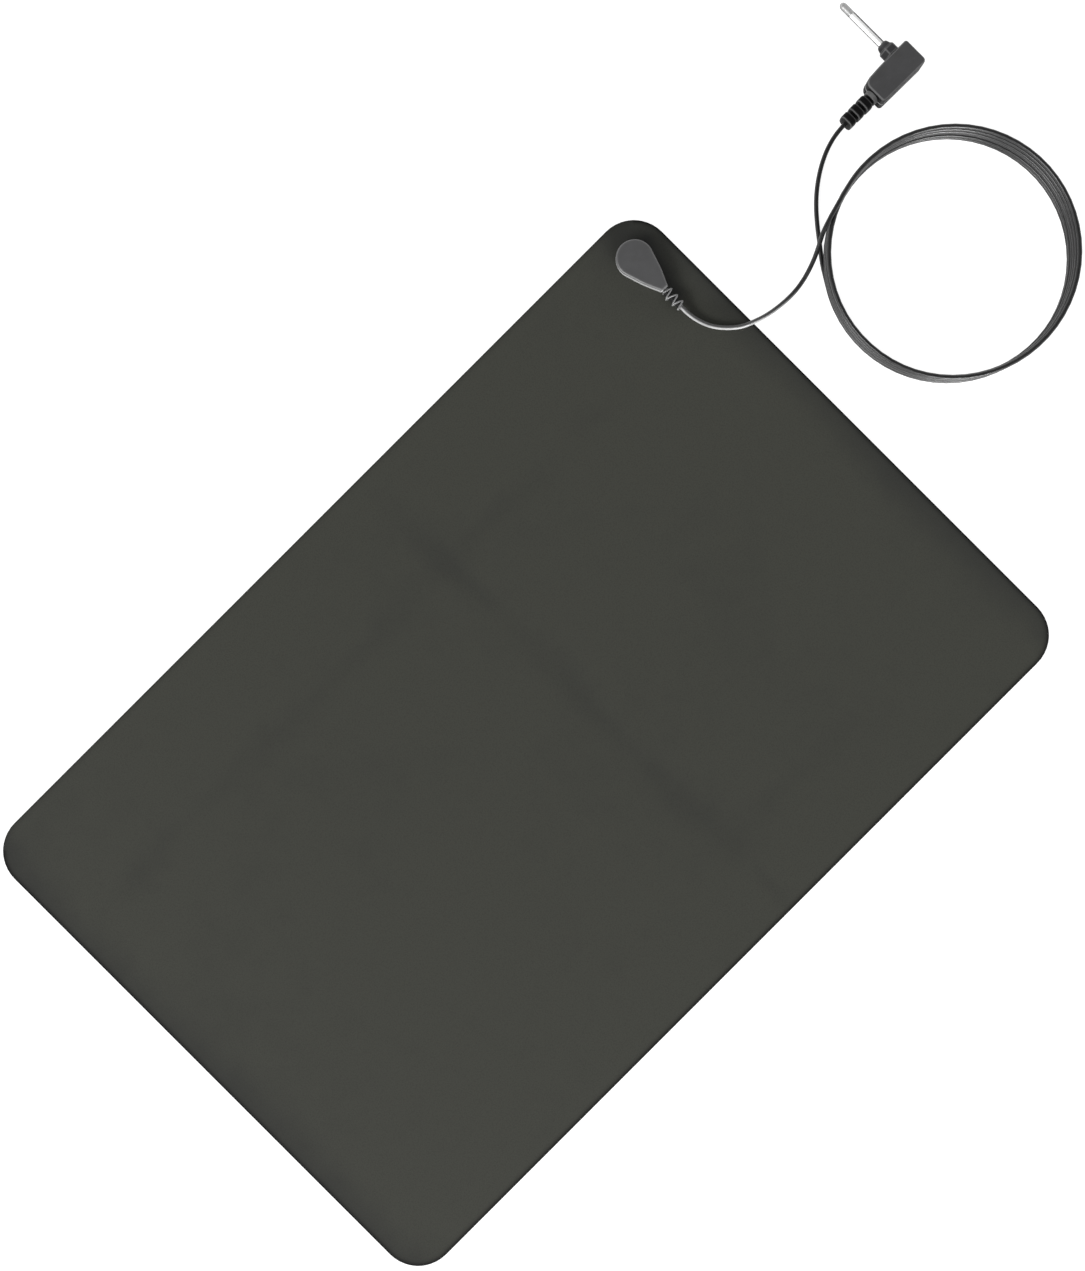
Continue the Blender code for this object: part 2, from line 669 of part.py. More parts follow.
def ground_pin(finish, pivot_at):
    """A turned pin with a round nose, thinner in the collar, and a crimp barrel inside the plug."""
    nose = [
        (PIN_RADIUS * math.cos(a), PIN_TIP_Y - PIN_NOSE + PIN_NOSE * math.sin(a))
        for a in np.radians((0, 30, 55, 75))
    ]
    barrel_end = PIN_REAR_Y + BARREL_LENGTH
    bore_end = PIN_REAR_Y + 0.65 * BARREL_LENGTH
    profile = (
        (0, bore_end),
        (BARREL_BORE_RADIUS, bore_end),
        (BARREL_BORE_RADIUS, PIN_REAR_Y),
        (BARREL_RADIUS, PIN_REAR_Y),
        (BARREL_RADIUS, barrel_end),
        (PIN_REAR_RADIUS, barrel_end),
        (PIN_REAR_RADIUS, COLLAR_END_Y),
        (PIN_RADIUS, COLLAR_END_Y + PIN_RADIUS - PIN_REAR_RADIUS),
        *nose,
        (0, PIN_TIP_Y),
    )
    at = PLUG_ORIGIN + Vector((PIN_X, 0, 0))
    add("ground_pin", turned(profile, 32), finish, pivot_at, at, (math.radians(-90), 0, 0))


def plug_conductor(finish, pivot_at):
    """Bare conductor from the strain relief round to the rear of the pin."""
    route = (
        (PLUG_WALL + GAP + PLUG_SPIGOT_LENGTH + 2 * GAP, 0, 0),
        (0.0100, -0.0008, 0),
        (0.0160, -0.0032, 0),
        (0.0210, -0.0056, 0),
        (0.0252, -0.0068, 0),
        (PIN_X - 0.0006, -0.0060, 0),
        (PIN_X, -0.0038, 0),
        (PIN_X, PIN_REAR_Y + 0.0030, 0),
    )
    points = smooth_route([Vector(place) + PLUG_ORIGIN for place in route], 0.0018)
    tube("plug_conductor", points, CONDUCTOR_RADIUS, 2, finish, pivot_at, PLUG_ORIGIN)


def plug_strain_relief(finish, pivot_at):
    """Three thick ribs on a core, with a flanged spigot held between the shells."""
    flange = PLUG_WALL + GAP
    spigot_end = flange + PLUG_SPIGOT_LENGTH
    profile = [
        (0, spigot_end),
        (PLUG_SPIGOT_RADIUS, spigot_end),
        (PLUG_SPIGOT_RADIUS + PLUG_SPIGOT_RIM, spigot_end - THIN_EDGE),
        (PLUG_SPIGOT_RADIUS + PLUG_SPIGOT_RIM, flange),
        (PLUG_SPIGOT_RADIUS, flange),
        (PLUG_SPIGOT_RADIUS, -GAP),
        (PLUG_RELIEF_NECK, -GAP),
        (PLUG_RELIEF_NECK, -PLUG_RELIEF_NECK_END),
        (PLUG_RELIEF_CORE, -PLUG_RELIEF_NECK_END - THIN_EDGE),
    ]
    corner = PLUG_RELIEF_CORNER
    for block in reversed(range(PLUG_RELIEF_BLOCKS)):
        far = -PLUG_RELIEF_END + block * PLUG_RELIEF_PITCH
        near = far + PLUG_RELIEF_BLOCK
        radius = PLUG_RELIEF_RADIUS - PLUG_RELIEF_TAPER * (PLUG_RELIEF_BLOCKS - 1 - block)
        profile += [(PLUG_RELIEF_CORE, near), (radius - corner, near), (radius, near - corner)]
        profile += [(radius, far + corner), (radius - corner, far)]
        profile += [(PLUG_RELIEF_CORE, far)] if block else [(0, far)]
    shape = turned(profile, 28)
    add("plug_strain_relief", shape, finish, pivot_at, PLUG_ORIGIN, (0, math.radians(90), 0))


def main():
    clear_scene()
    face = material("face_leatherette", (0.058, 0.060, 0.052), 0.62)
    core = material("core_foam", (0.030, 0.030, 0.030), 0.95)
    backing = material("backing_rubber", (0.020, 0.020, 0.020), 0.85)
    steel = material("plated_steel", (0.62, 0.62, 0.60), 0.28, 1.0)
    brass = material("brass", (0.72, 0.55, 0.26), 0.32, 1.0)
    copper = material("copper", (0.80, 0.42, 0.26), 0.35, 1.0)
    casing = material("casing_plastic", (0.075, 0.075, 0.078), 0.45)
    relief = material("relief_rubber", (0.016, 0.016, 0.017), 0.55)
    sheath = material("cord_sheath", (0.020, 0.020, 0.021), 0.48)
    ceramic = material("resistor_lacquer", (0.45, 0.30, 0.17), 0.40)

    root = pivot("mat_origin", (0, 0, 0))
    lift = pivot("snap_lift", SNAP, root)
    swivel = pivot("snap_swivel", SNAP, lift)

    mat_sheet("backing_sheet", 0, BACKING_THICKNESS, CAP_RADIUS + GAP, backing, root)
    mat_sheet("core_sheet", CORE_LOW, CORE_THICKNESS, STUD_SHANK_RADIUS + GAP, core, root)
    mat_sheet("face_sheet", FACE_LOW, FACE_THICKNESS, STUD_SHANK_RADIUS + GAP, face, root)
    snap_stud(steel, root)
    stud_back_cap(steel, root)

    snap_socket(steel, lift)
    socket_springs(steel, lift)

    connector_base(casing, swivel)
    connector_cover(casing, swivel)
    socket_rivet(brass, swivel)
    ring_terminal(brass, swivel)
    resistor(ceramic, swivel)
    crimp_sleeve(copper, swivel)
    lead_conductor(copper, swivel)
    connector_strain_relief(relief, swivel)
    cord_lead(sheath, swivel)
    cord_coil(sheath, swivel)
    cord_tail(sheath, swivel)
    plug_strain_relief(relief, swivel)
    plug_shells(casing, swivel)
    pin_collar(casing, swivel)
    ground_pin(steel, swivel)
    plug_conductor(copper, swivel)


main()
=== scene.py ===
"""The looks of a grounding mat and its press-stud lead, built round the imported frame.

Metres, in the frame's own axes: +X along the mat's long side, +Z up, the origin in the middle of
the mat's underside. The camera looks straight down and is turned 45 degrees about its axis.
"""

import math

import bmesh
import bpy
import numpy as np
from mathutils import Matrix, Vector


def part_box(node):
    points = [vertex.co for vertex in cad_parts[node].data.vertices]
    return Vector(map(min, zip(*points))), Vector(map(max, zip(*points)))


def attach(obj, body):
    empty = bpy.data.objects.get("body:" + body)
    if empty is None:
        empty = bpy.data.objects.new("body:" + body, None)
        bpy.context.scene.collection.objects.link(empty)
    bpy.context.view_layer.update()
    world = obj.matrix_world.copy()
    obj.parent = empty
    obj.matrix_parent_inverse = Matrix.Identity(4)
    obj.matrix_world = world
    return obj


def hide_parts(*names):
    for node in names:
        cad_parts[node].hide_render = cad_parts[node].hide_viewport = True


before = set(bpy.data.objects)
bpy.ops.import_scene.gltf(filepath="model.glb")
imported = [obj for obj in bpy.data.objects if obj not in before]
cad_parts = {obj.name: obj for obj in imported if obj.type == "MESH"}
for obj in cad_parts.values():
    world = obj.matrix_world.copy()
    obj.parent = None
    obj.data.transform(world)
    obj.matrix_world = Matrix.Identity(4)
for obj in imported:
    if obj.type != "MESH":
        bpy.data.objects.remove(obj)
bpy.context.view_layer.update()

# Camera: over the mat, turned so that the snap's corner is at the top. The sensor spans the frame's
# longer side, which covers VIEW_HEIGHT at VIEW_DISTANCE
CAMERA_AT = (0.0575, 0.0422, 0.803)
CAMERA_TURN = math.radians(-45)
SENSOR = 36.0
VIEW_HEIGHT = 0.8325
VIEW_DISTANCE = 0.800

# Mat
MAT_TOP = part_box("face_sheet")[1].z
FACE_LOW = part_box("face_sheet")[0].z
CORE_LOW, CORE_HIGH = (corner.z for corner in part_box("core_sheet"))
BACKING_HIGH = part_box("backing_sheet")[1].z
HALF_X, HALF_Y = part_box("face_sheet")[1].xy
CORNER_RADIUS = 0.026
SHEET_RIM = 0.0003
FACE_RIM = 0.0008
STUD_HOLE = 0.0028
CAP_HOLE = 0.0063

# Folds left from the mat's packing: the line's axis, its place, its stretch and its weight
CREASES = (
    ("x", 0.048, -0.200, 0.200, 1.00),
    ("y", 0.121, -0.286, 0.207, 0.60),
    ("y", -0.139, -0.070, 0.190, 0.40),
    ("y", -0.010, -0.265, -0.200, 0.35),
)
CREASE_WIDTH = 0.0095
CREASE_DEPTH = 0.00016
CREASE_FADE = 0.03

# Tones on the mat: a thin dark line along its rims, painted shade in bands on its short edges, and a
# painted shadow in the connector's corner and beside it
EDGE_WIDTH = 0.0022
FAR_EDGE_SHARE = 0.3
EDGE_SHADE_WIDTH = 0.016
CORNER_SHADOW_AT = (0.003, 0.017)
CORNER_SHADOW_WIDTH = 0.017
SIDE_SHADOW_FOOT = (0.005, -0.036)
SIDE_SHADOW_HEAD = (0.013, 0.004)
SIDE_SHADOW_WIDTH = 0.0047
SIDE_SHADOW_WEIGHT = 1.3

# Snap connector, in its own frame: the stud's axis, the cord towards -Y
SNAP = (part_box("snap_stud")[0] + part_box("snap_stud")[1]) / 2
SNAP.z = 0
HEAD_RADIUS = 0.0124
HEAD_LENGTH = 0.0280
NECK_HALF_WIDTH = 0.0026
HEAD_BULGE = 0.0006
HEAD_LOW, HEAD_SPLIT = (corner.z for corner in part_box("connector_base"))
COVER_LOW, HEAD_TOP = (corner.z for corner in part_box("connector_cover"))
HEAD_WALL = 0.0013
HEAD_DOME = 0.0002
# The lower shell's side draws in towards its foot: how far in, and how far above the foot
FOOT_PROFILE = (
    (0.0021, 0.0),
    (0.0015, 0.0002),
    (0.0011, 0.0007),
    (0.0006, 0.0016),
)
# The cover's rounded rim: how far in, and how far below the top
RIM_PROFILE = (
    (0.0, 0.00130),
    (0.0001, 0.00090),
    (0.0003, 0.00055),
    (0.0006, 0.00025),
    (0.0009, 0.00006),
    (0.0012, 0.0),
)
SOCKET_HOLE = 0.0057
LEAD_Z = 0.0067
RESISTOR_OFFSET = 0.0143
RELIEF_START = 0.0283
RELIEF_END = 0.0434
RELIEF_HALF_WIDTH = (0.0043, 0.0034)
RELIEF_HEIGHT_SHARE = 0.74
RELIEF_CORE = (0.0026, 0.0020)
RIDGE_INSET = 0.0007
RIDGE_HALF_THICKNESS = 0.00066

# Lead: the routes are those of the CAD model's tubes
CORD_DIAMETER = 0.0030
CORD_RADIUS = CORD_DIAMETER / 2
COIL_CENTRE = Vector((0.4192, 0.0293, 0))
COIL_RADIUS_LOW = 0.0797
COIL_RADIUS_HIGH = 0.0804
COIL_TOP_Z = 0.0192
COIL_START = 105.0
COIL_TURNS = 5.9
COIL_POINTS_PER_TURN = 60
COIL_WANDER = 0.0003
COIL_CALM_TURNS = 0.4
LEAD_ROUTE = (
    (0.2730, 0.1380, 0.0067),
    (0.2730, 0.1293, 0.0067),
    (0.2736, 0.1222, 0.0055),
    (0.2753, 0.1150, 0.0049),
    (0.2785, 0.1074, 0.0048),
    (0.2852, 0.0989, 0.0048),
    (0.2940, 0.0921, 0.0049),
    (0.3005, 0.0894, 0.0049),
    (0.3050, 0.0880, 0.0040),
    (0.3097, 0.0868, 0.0028),
    (0.3189, 0.0853, 0.0017),
    (0.3285, 0.0846, 0.0015),
    (0.3384, 0.0852, 0.0026),
    (0.3500, 0.0882, 0.0066),
    (0.3577, 0.0915, 0.0098),
    (0.3634, 0.0947, 0.0127),
    (0.3697, 0.0982, 0.0156),
    (0.3732, 0.0996, 0.0170),
    (0.3769, 0.1009, 0.0180),
    (0.3862, 0.1036, 0.0190),
)
TAIL_ROUTE = (
    (0.3606, 0.0859, 0.0015),
    (0.3659, 0.0928, 0.0015),
    (0.3711, 0.0996, 0.0015),
    (0.3772, 0.1072, 0.0015),
    (0.3838, 0.1145, 0.0015),
    (0.3900, 0.1203, 0.0015),
    (0.3978, 0.1263, 0.0015),
    (0.4063, 0.1315, 0.0016),
    (0.4155, 0.1357, 0.0025),
    (0.4243, 0.1380, 0.0047),
    (0.4326, 0.1386, 0.0065),
    (0.4450, 0.1386, 0.0065),
    (0.4630, 0.1386, 0.0065),
)
# The cord is paler up to the mat's edge, a painted sheen, with a painted highlight there on the side that
# looks this way
PAINTED_HIGHLIGHT_SIDE = (-0.6, -0.8)
PAINTED_SHEEN_END = 0.300
PAINTED_SHEEN_FADE = 0.036

# Plug, in its own frame: the cord's axis at its end wall, the pin towards +Y
PLUG = Vector((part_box("plug_shell_lower")[0].x, 0.1386, 0.0065))
PLUG_HALF_HEIGHT = 0.0065
PLUG_LENGTH = 0.0388
PLUG_SIDE_Y = 0.0100
PLUG_WALL = 0.0015
PLUG_SEAM = 0.00015
PLUG_EDGE = 0.0011
PIN_X = 0.0283
BLOCK_START = -0.0053
BLOCK_PITCH = 0.0073
BLOCK_LENGTH = 0.0052
BLOCK_HALVES = (0.0051, 0.0050, 0.0049)
BLOCK_NECK = 0.0034
COLLAR_RADIUS = 0.0063
PIN_NOSE = 0.0105
PIN_NOSE_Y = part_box("ground_pin")[1].y - PIN_NOSE

# Stage
FLOOR_REACH = 4.0
FLOOR_DROP = 0.0002
FLOOR_GLOW = 0.87
FLOOR_TONES = (0.43, 0.47)
SKY_TOP = 0.12
SKY_RIM = 1.35
KEY_AT = (-16.0, 1.20, 8.60)
KEY_SIZE = (12.0, 4.6)
KEY_POWER = 2750.0
FILL_AT = (-6.0, -14.0, 2.10)
FILL_SIZE = (9.0, 2.2)
FILL_POWER = 3400.0
LIGHT_TARGET = (0.15, 0.05, 0.0)


# Materials


def grey(level):
    return (level, level, level)


class Finish:
    """A node material: one shader, fed by textures that follow the object's own coordinates."""

    def __init__(self, name, metallic=0.0, **fixed):
        self.material = bpy.data.materials.new(name)
        self.material.use_nodes = True
        self.tree = self.material.node_tree
        self.shader = self.tree.nodes["Principled BSDF"]
        self.shader.inputs["Metallic"].default_value = metallic
        for socket, value in fixed.items():
            self.shader.inputs[socket.replace("_", " ")].default_value = value
        own = self.node("ShaderNodeTexCoord").outputs
        self.place, self.normal = own["Object"], own["Normal"]

    def node(self, kind, settings=None, **inputs):
        made = self.tree.nodes.new(kind)
        for name, value in (settings or {}).items():
            setattr(made, name, value)
        for name, value in inputs.items():
            self.feed(made.inputs[name.replace("_", " ")], value)
        return made

    def feed(self, socket, value):
        if isinstance(value, bpy.types.NodeSocket):
            self.tree.links.new(value, socket)
        else:
            socket.default_value = value

    def noise(self, scale, detail=3.0, stretch=(1, 1, 1), rough=0.55):
        place = self.node("ShaderNodeMapping", Vector=self.place, Scale=stretch).outputs["Vector"]
        made = self.node("ShaderNodeTexNoise", Vector=place, Scale=scale, Detail=detail, Roughness=rough)
        return made.outputs["Fac"]

    def cells(self, scale, feature="F1"):
        made = self.node("ShaderNodeTexVoronoi", {"feature": feature}, Vector=self.place, Scale=scale)
        return made.outputs["Distance"]

    def attribute(self, name):
        return self.node("ShaderNodeAttribute", {"attribute_name": name}).outputs["Fac"]

    def along(self, axis):
        """The place's coordinate on one of the object's own axes."""
        return self.node("ShaderNodeSeparateXYZ", Vector=self.place).outputs[axis]

    def facing(self, axis):
        """How far the surface looks along one of the object's own axes, from -1 to 1."""
        return self.node("ShaderNodeSeparateXYZ", Vector=self.normal).outputs[axis]

    def spread(self, value, low, high, to_low=0.0, to_high=1.0):
        """The value's range low to high, stretched to another and clamped."""
        made = self.node("ShaderNodeMapRange", {"clamp": True}, Value=value)
        limits = {"From Min": low, "From Max": high, "To Min": to_low, "To Max": to_high}
        for name, number in limits.items():
            made.inputs[name].default_value = number
        return made.outputs["Result"]

    def maths(self, operation, first, second):
        made = self.node("ShaderNodeMath", {"operation": operation})
        self.feed(made.inputs[0], first)
        self.feed(made.inputs[1], second)
        return made.outputs["Value"]

    def add(self, *values):
        total = values[0]
        for value in values[1:]:
            total = self.maths("ADD", total, value)
        return total

    def times(self, value, factor):
        return self.maths("MULTIPLY", value, factor)

    def blend(self, factor, first, second):
        """A colour between two others, each a socket or three numbers."""
        made = self.node("ShaderNodeMix", {"data_type": "RGBA"})
        self.feed(made.inputs["Factor"], factor)
        for name, colour in (("A", first), ("B", second)):
            socket = next(i for i in made.inputs if i.name == name and i.type == "RGBA")
            self.feed(socket, colour if isinstance(colour, bpy.types.NodeSocket) else (*colour, 1.0))
        return next(o for o in made.outputs if o.type == "RGBA")

    def finish(self, colour, roughness, height=None, depth=0.0, strength=1.0):
        self.feed(self.shader.inputs["Base Color"], colour)
        self.feed(self.shader.inputs["Roughness"], roughness)
        if height is not None:
            bump = self.node("ShaderNodeBump", Height=height, Strength=strength, Distance=depth)
            self.tree.links.new(bump.outputs["Normal"], self.shader.inputs["Normal"])
        return self.material


def leatherette():
    """Embossed olive-black sheet, darker and more neutral in painted shade: creases, edge bands, round the
    connector.
    """
    f = Finish("leatherette", Specular_IOR_Level=0.13, Sheen_Weight=0.02, Sheen_Roughness=0.6)
    clouds = f.spread(f.noise(9, 4), 0.30, 0.70)
    mottle = f.spread(f.noise(55, 4), 0.30, 0.70)
    edge = f.attribute("edge")
    # Painted shade in the creases and the short edges' bands, and a painted shadow round the connector;
    # clouds and mottle are the sheet's own random tone
    shade_and_mottle = f.add(
        f.times(f.attribute("crease"), 0.24),
        f.times(f.attribute("painted_shade"), 0.50),
        f.times(f.maths("SUBTRACT", clouds, 0.5), 0.16),
        f.times(f.maths("SUBTRACT", mottle, 0.5), 0.10),
    )
    # The second tone is the colour of the painted shade and the dark end of the mottle
    olive, painted_shading = (0.0456, 0.0468, 0.0388), (0.0190, 0.0195, 0.0201)
    colour = f.blend(f.spread(shade_and_mottle, 0.0, 1.0), olive, painted_shading)
    pebble = f.spread(f.cells(1150), 0.0, 0.75)
    pores = f.noise(2600, 2)
    grain = f.add(f.times(pebble, 0.75), f.times(pores, 0.25))
    colour = f.blend(f.spread(pebble, 0.55, 1.0, 0.0, 0.22), colour, (0.020, 0.020, 0.018))
    colour = f.blend(f.times(edge, 0.98), colour, grey(0.003))
    roughness = f.add(f.spread(mottle, 0.0, 1.0, 0.56, 0.66), f.times(pores, 0.08), f.times(edge, 0.30))
    return f.finish(colour, roughness, grain, depth=0.00006, strength=0.55)


def felt():
    """Pressed dark fibres that run both ways."""
    f = Finish("felt_core", Specular_IOR_Level=0.15, Sheen_Weight=0.15, Sheen_Roughness=0.5)
    fibres = f.add(f.times(f.noise(1900, 3, (1, 1, 4)), 0.6), f.times(f.noise(700, 4, (4, 1, 1)), 0.4))
    colour = f.blend(f.spread(fibres, 0.35, 0.65), grey(0.010), (0.040, 0.040, 0.038))
    return f.finish(colour, f.spread(fibres, 0.3, 0.7, 0.88, 0.98), fibres, depth=0.00012, strength=0.8)


def backing_rubber():
    """Dull rubber with small raised grip dots."""
    f = Finish("backing_rubber", Specular_IOR_Level=0.30)
    dots = f.spread(f.cells(330), 0.42, 0.22)
    skin = f.noise(1500, 3)
    dust = f.spread(f.noise(30, 4), 0.45, 0.75, 0.0, 0.3)
    colour = f.blend(dots, grey(0.012), (0.028, 0.028, 0.029))
    colour = f.blend(dust, colour, (0.050, 0.049, 0.045))
    height = f.add(dots, f.times(skin, 0.25))
    return f.finish(colour, f.spread(skin, 0.3, 0.7, 0.72, 0.86), height, depth=0.00022, strength=0.9)


def moulded(name, dark, light, highlight_and_wear, rough, grain=1900.0, specular=0.5, wall_shade=0.0):
    """Spark-textured plastic or rubber, pale at its edges, partly edge wear and partly painted highlight,
    and at its scuffs.

    wall_shade says how much painted shade darkens its upright sides against its top, from 0 to 1.
    """
    f = Finish(name, Specular_IOR_Level=specular)
    spark = f.noise(grain, 2)
    clouds = f.spread(f.noise(140, 4), 0.30, 0.70)
    scuffs = f.spread(f.noise(420, 3, (1, 9, 3)), 0.62, 0.80)
    colour = f.blend(clouds, dark, light)
    # Painted shade: upright sides darkened towards near black
    if wall_shade:
        colour = f.blend(f.spread(f.facing("Z"), 0.35, 0.80, wall_shade, 0.0), colour, grey(0.004))
    # Pale edges: edge wear and painted highlight; the pale scuffs are wear
    colour = f.blend(f.times(f.attribute("edge"), 0.7), colour, highlight_and_wear)
    colour = f.blend(f.times(scuffs, 0.12), colour, highlight_and_wear)
    roughness = f.add(f.spread(spark, 0.3, 0.7, rough - 0.05, rough + 0.05), f.times(scuffs, 0.06))
    height = f.add(spark, f.times(scuffs, -0.35))
    return f.finish(colour, roughness, height, depth=0.00002, strength=0.4)


def sheath():
    """Extruded PVC: slow ripples, faint dust and a soft shine, with a painted sheen and a one-sided painted
    highlight where it crosses the mat.
    """
    f = Finish("cord_sheath", Specular_IOR_Level=0.56)
    ripple = f.noise(240, 3)
    fine = f.noise(2400, 2)
    dust = f.spread(f.noise(900, 5, rough=0.7), 0.60, 0.78)
    # The side that takes the painted highlight, and the stretch up to the mat's edge that takes it and the
    # painted sheen
    outer_side = f.add(f.times(f.facing("X"), PAINTED_HIGHLIGHT_SIDE[0]), f.times(f.facing("Y"), PAINTED_HIGHLIGHT_SIDE[1]))
    painted_shading = f.spread(f.along("X"), PAINTED_SHEEN_END + PAINTED_SHEEN_FADE, PAINTED_SHEEN_END)
    highlight_and_wear = f.times(f.spread(outer_side, 0.15, 0.65), painted_shading)
    colour = f.blend(f.spread(ripple, 0.3, 0.7), (0.0035, 0.0035, 0.0037), (0.0080, 0.0080, 0.0083))
    # Painted sheen on the stretch over the mat, then the painted highlight on its one side
    colour = f.blend(painted_shading, colour, grey(0.065))
    colour = f.blend(f.times(highlight_and_wear, f.spread(ripple, 0.2, 0.5, 0.7, 1.0)), colour, grey(0.32))
    colour = f.blend(f.times(dust, 0.30), colour, (0.060, 0.059, 0.056))
    roughness = f.add(f.spread(ripple, 0.3, 0.7, 0.33, 0.41), f.times(dust, 0.12))
    height = f.add(ripple, f.times(fine, 0.12))
    return f.finish(colour, roughness, height, depth=0.00006, strength=0.6)


def metal(name, colour, tarnish, rough, rings):
    """Turned or drawn metal."""
    return worn(Finish(name, metallic=1.0), colour, tarnish, rough, rings)


def worn(f, colour, tarnish, rough, rings):
    """Adds lathe lines, light tarnish and a few scratches. rings stretches the lines' noise."""
    lathe = f.noise(60, 3, rings)
    stain = f.spread(f.noise(260, 5), 0.50, 0.78)
    scratches = f.spread(f.noise(900, 2, (1, 0.08, 1)), 0.66, 0.72)
    shade = f.blend(f.times(stain, 0.45), colour, tarnish)
    shade = f.blend(f.spread(lathe, 0.3, 0.7, 0.0, 0.18), shade, tarnish)
    roughness = f.add(f.spread(lathe, 0.3, 0.7, rough - 0.05, rough + 0.05), f.times(stain, 0.12))
    height = f.add(lathe, f.times(scratches, -0.4))
    return f.finish(shade, roughness, height, depth=0.00001, strength=0.5)


def pin_plating():
    """Satin nickel pin with painted light: near white as a painted reflection, a dark painted reflection
    line along its +X side, painted shade on its sides and on its greyer nose's -X side.
    """
    f = Finish("plated_pin", metallic=0.35)
    nose = f.spread(f.along("Y"), PIN_NOSE_Y - 0.0004, PIN_NOSE_Y + 0.0004)
    across = f.facing("X")
    # Greyer nose, with painted shade on its -X side
    nose_shade = f.blend(f.spread(across, -0.6, 0.4), grey(0.26), grey(0.50))
    # Near-white body: a painted reflection
    shade = f.blend(nose, grey(0.97), nose_shade)
    # Painted dark reflection: a line along the +X side, fainter on the nose
    dark_reflection_line = f.times(f.spread(across, 0.10, 0.16), f.spread(across, 0.74, 0.68))
    dark_reflection_line = f.times(dark_reflection_line, f.spread(nose, 0.0, 1.0, 1.0, 0.15))
    shade = f.blend(dark_reflection_line, shade, grey(0.004))
    # Painted shade on the sides and underside
    flank_shade = f.spread(f.facing("Z"), 0.34, 0.22)
    shade = f.blend(flank_shade, shade, grey(0.03))
    return worn(f, shade, tarnish=(0.80, 0.80, 0.79), rough=0.30, rings=(1, 70, 1))


def lacquer():
    """A resistor's glossy body with its printed rings, along Y."""
    f = Finish("resistor_lacquer", Specular_IOR_Level=0.55, Coat_Weight=0.4, Coat_Roughness=0.12)
    along = f.along("Y")
    middle = SNAP.y - RESISTOR_OFFSET
    speckle = f.noise(1800, 3)
    colour = f.blend(f.spread(speckle, 0.3, 0.7), (0.40, 0.27, 0.15), (0.50, 0.36, 0.21))
    for offset, ring in (
        (-0.0020, (0.30, 0.10, 0.02)),
        (-0.0009, grey(0.02)),
        (0.0002, (0.25, 0.20, 0.01)),
        (0.0018, (0.42, 0.28, 0.06)),
    ):
        away = f.maths("ABSOLUTE", f.maths("SUBTRACT", along, middle + offset), 0.0)
        colour = f.blend(f.spread(away, 0.00034, 0.00028), colour, ring)
    return f.finish(colour, f.spread(speckle, 0.3, 0.7, 0.24, 0.34), speckle, depth=0.00002, strength=0.4)


def paper():
    """The pale surface that everything lies on. It glows a little, so that shadows on it stay faint."""
    f = Finish("studio_floor", Specular_IOR_Level=0.1, Emission_Strength=FLOOR_GLOW)
    f.shader.inputs["Emission Color"].default_value = (1.0, 1.0, 1.0, 1.0)
    fibre = f.noise(35, 5)
    colour = f.blend(f.spread(fibre, 0.3, 0.7), *map(grey, FLOOR_TONES))
    roughness = f.spread(fibre, 0.3, 0.7, 0.80, 0.90)
    return f.finish(colour, roughness, f.noise(900, 3), depth=0.00003, strength=0.3)


# Shapes

SMOOTH_ANGLE = 38.0


def shown(name, data, finish, body, replaced=()):
    """A visible piece that moves with a CAD body and stands for the replaced nodes."""
    obj = bpy.data.objects.new(name, data)
    bpy.context.scene.collection.objects.link(obj)
    data.materials.append(finish)
    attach(obj, body)
    if replaced:
        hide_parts(*replaced)
    return obj


def as_mesh(mesh, angle=SMOOTH_ANGLE):
    """Mesh data from a bmesh, smooth except where it bends by more than the angle."""
    bmesh.ops.recalc_face_normals(mesh, faces=mesh.faces)
    data = bpy.data.meshes.new("shape")
    mesh.to_mesh(data)
    mesh.free()
    data.shade_smooth()
    data.set_sharp_from_angle(angle=math.radians(angle))
    return data


def loft(rings, loop=False, angle=SMOOTH_ANGLE):
    """A closed skin over rings that all have the same count of points: capped, or joined end to end."""
    mesh = bmesh.new()
    made = [[mesh.verts.new(point) for point in ring] for ring in rings]
    count = len(made[0])
    pairs = list(zip(made, made[1:]))
    if loop:
        pairs.append((made[-1], made[0]))
    else:
        mesh.faces.new(made[0])
        mesh.faces.new(made[-1])
    for lower, upper in pairs:
        for i in range(count):
            j = (i + 1) % count
            mesh.faces.new((lower[i], lower[j], upper[j], upper[i]))
    return as_mesh(mesh, angle)


def rub(data, low_angle=12.0, high_angle=55.0):
    """Writes an "edge" value on each point: 0 on flat ground, 1 on a tight convex edge."""
    mesh = bmesh.new()
    mesh.from_mesh(data)
    values = []
    for vert in mesh.verts:
        bends = [e.calc_face_angle_signed(0.0) for e in vert.link_edges]
        bend = math.degrees(max(bends, default=0.0))
        values.append(min(1.0, max(0.0, (bend - low_angle) / (high_angle - low_angle))))
    mesh.free()
    write(data, "edge", values)
    return data


def write(data, name, values):
    """Stores one number for each point, for a material to read."""
    layer = data.attributes.new(name, "FLOAT", "POINT")
    layer.data.foreach_set("value", np.asarray(values, np.float32))


def arc(centre, radius, start, end, steps):
    """Points on an arc, both ends included. Angles are in degrees."""
    angles = np.radians(np.linspace(start, end, steps + 1))
    return [(centre[0] + radius * math.cos(a), centre[1] + radius * math.sin(a)) for a in angles]


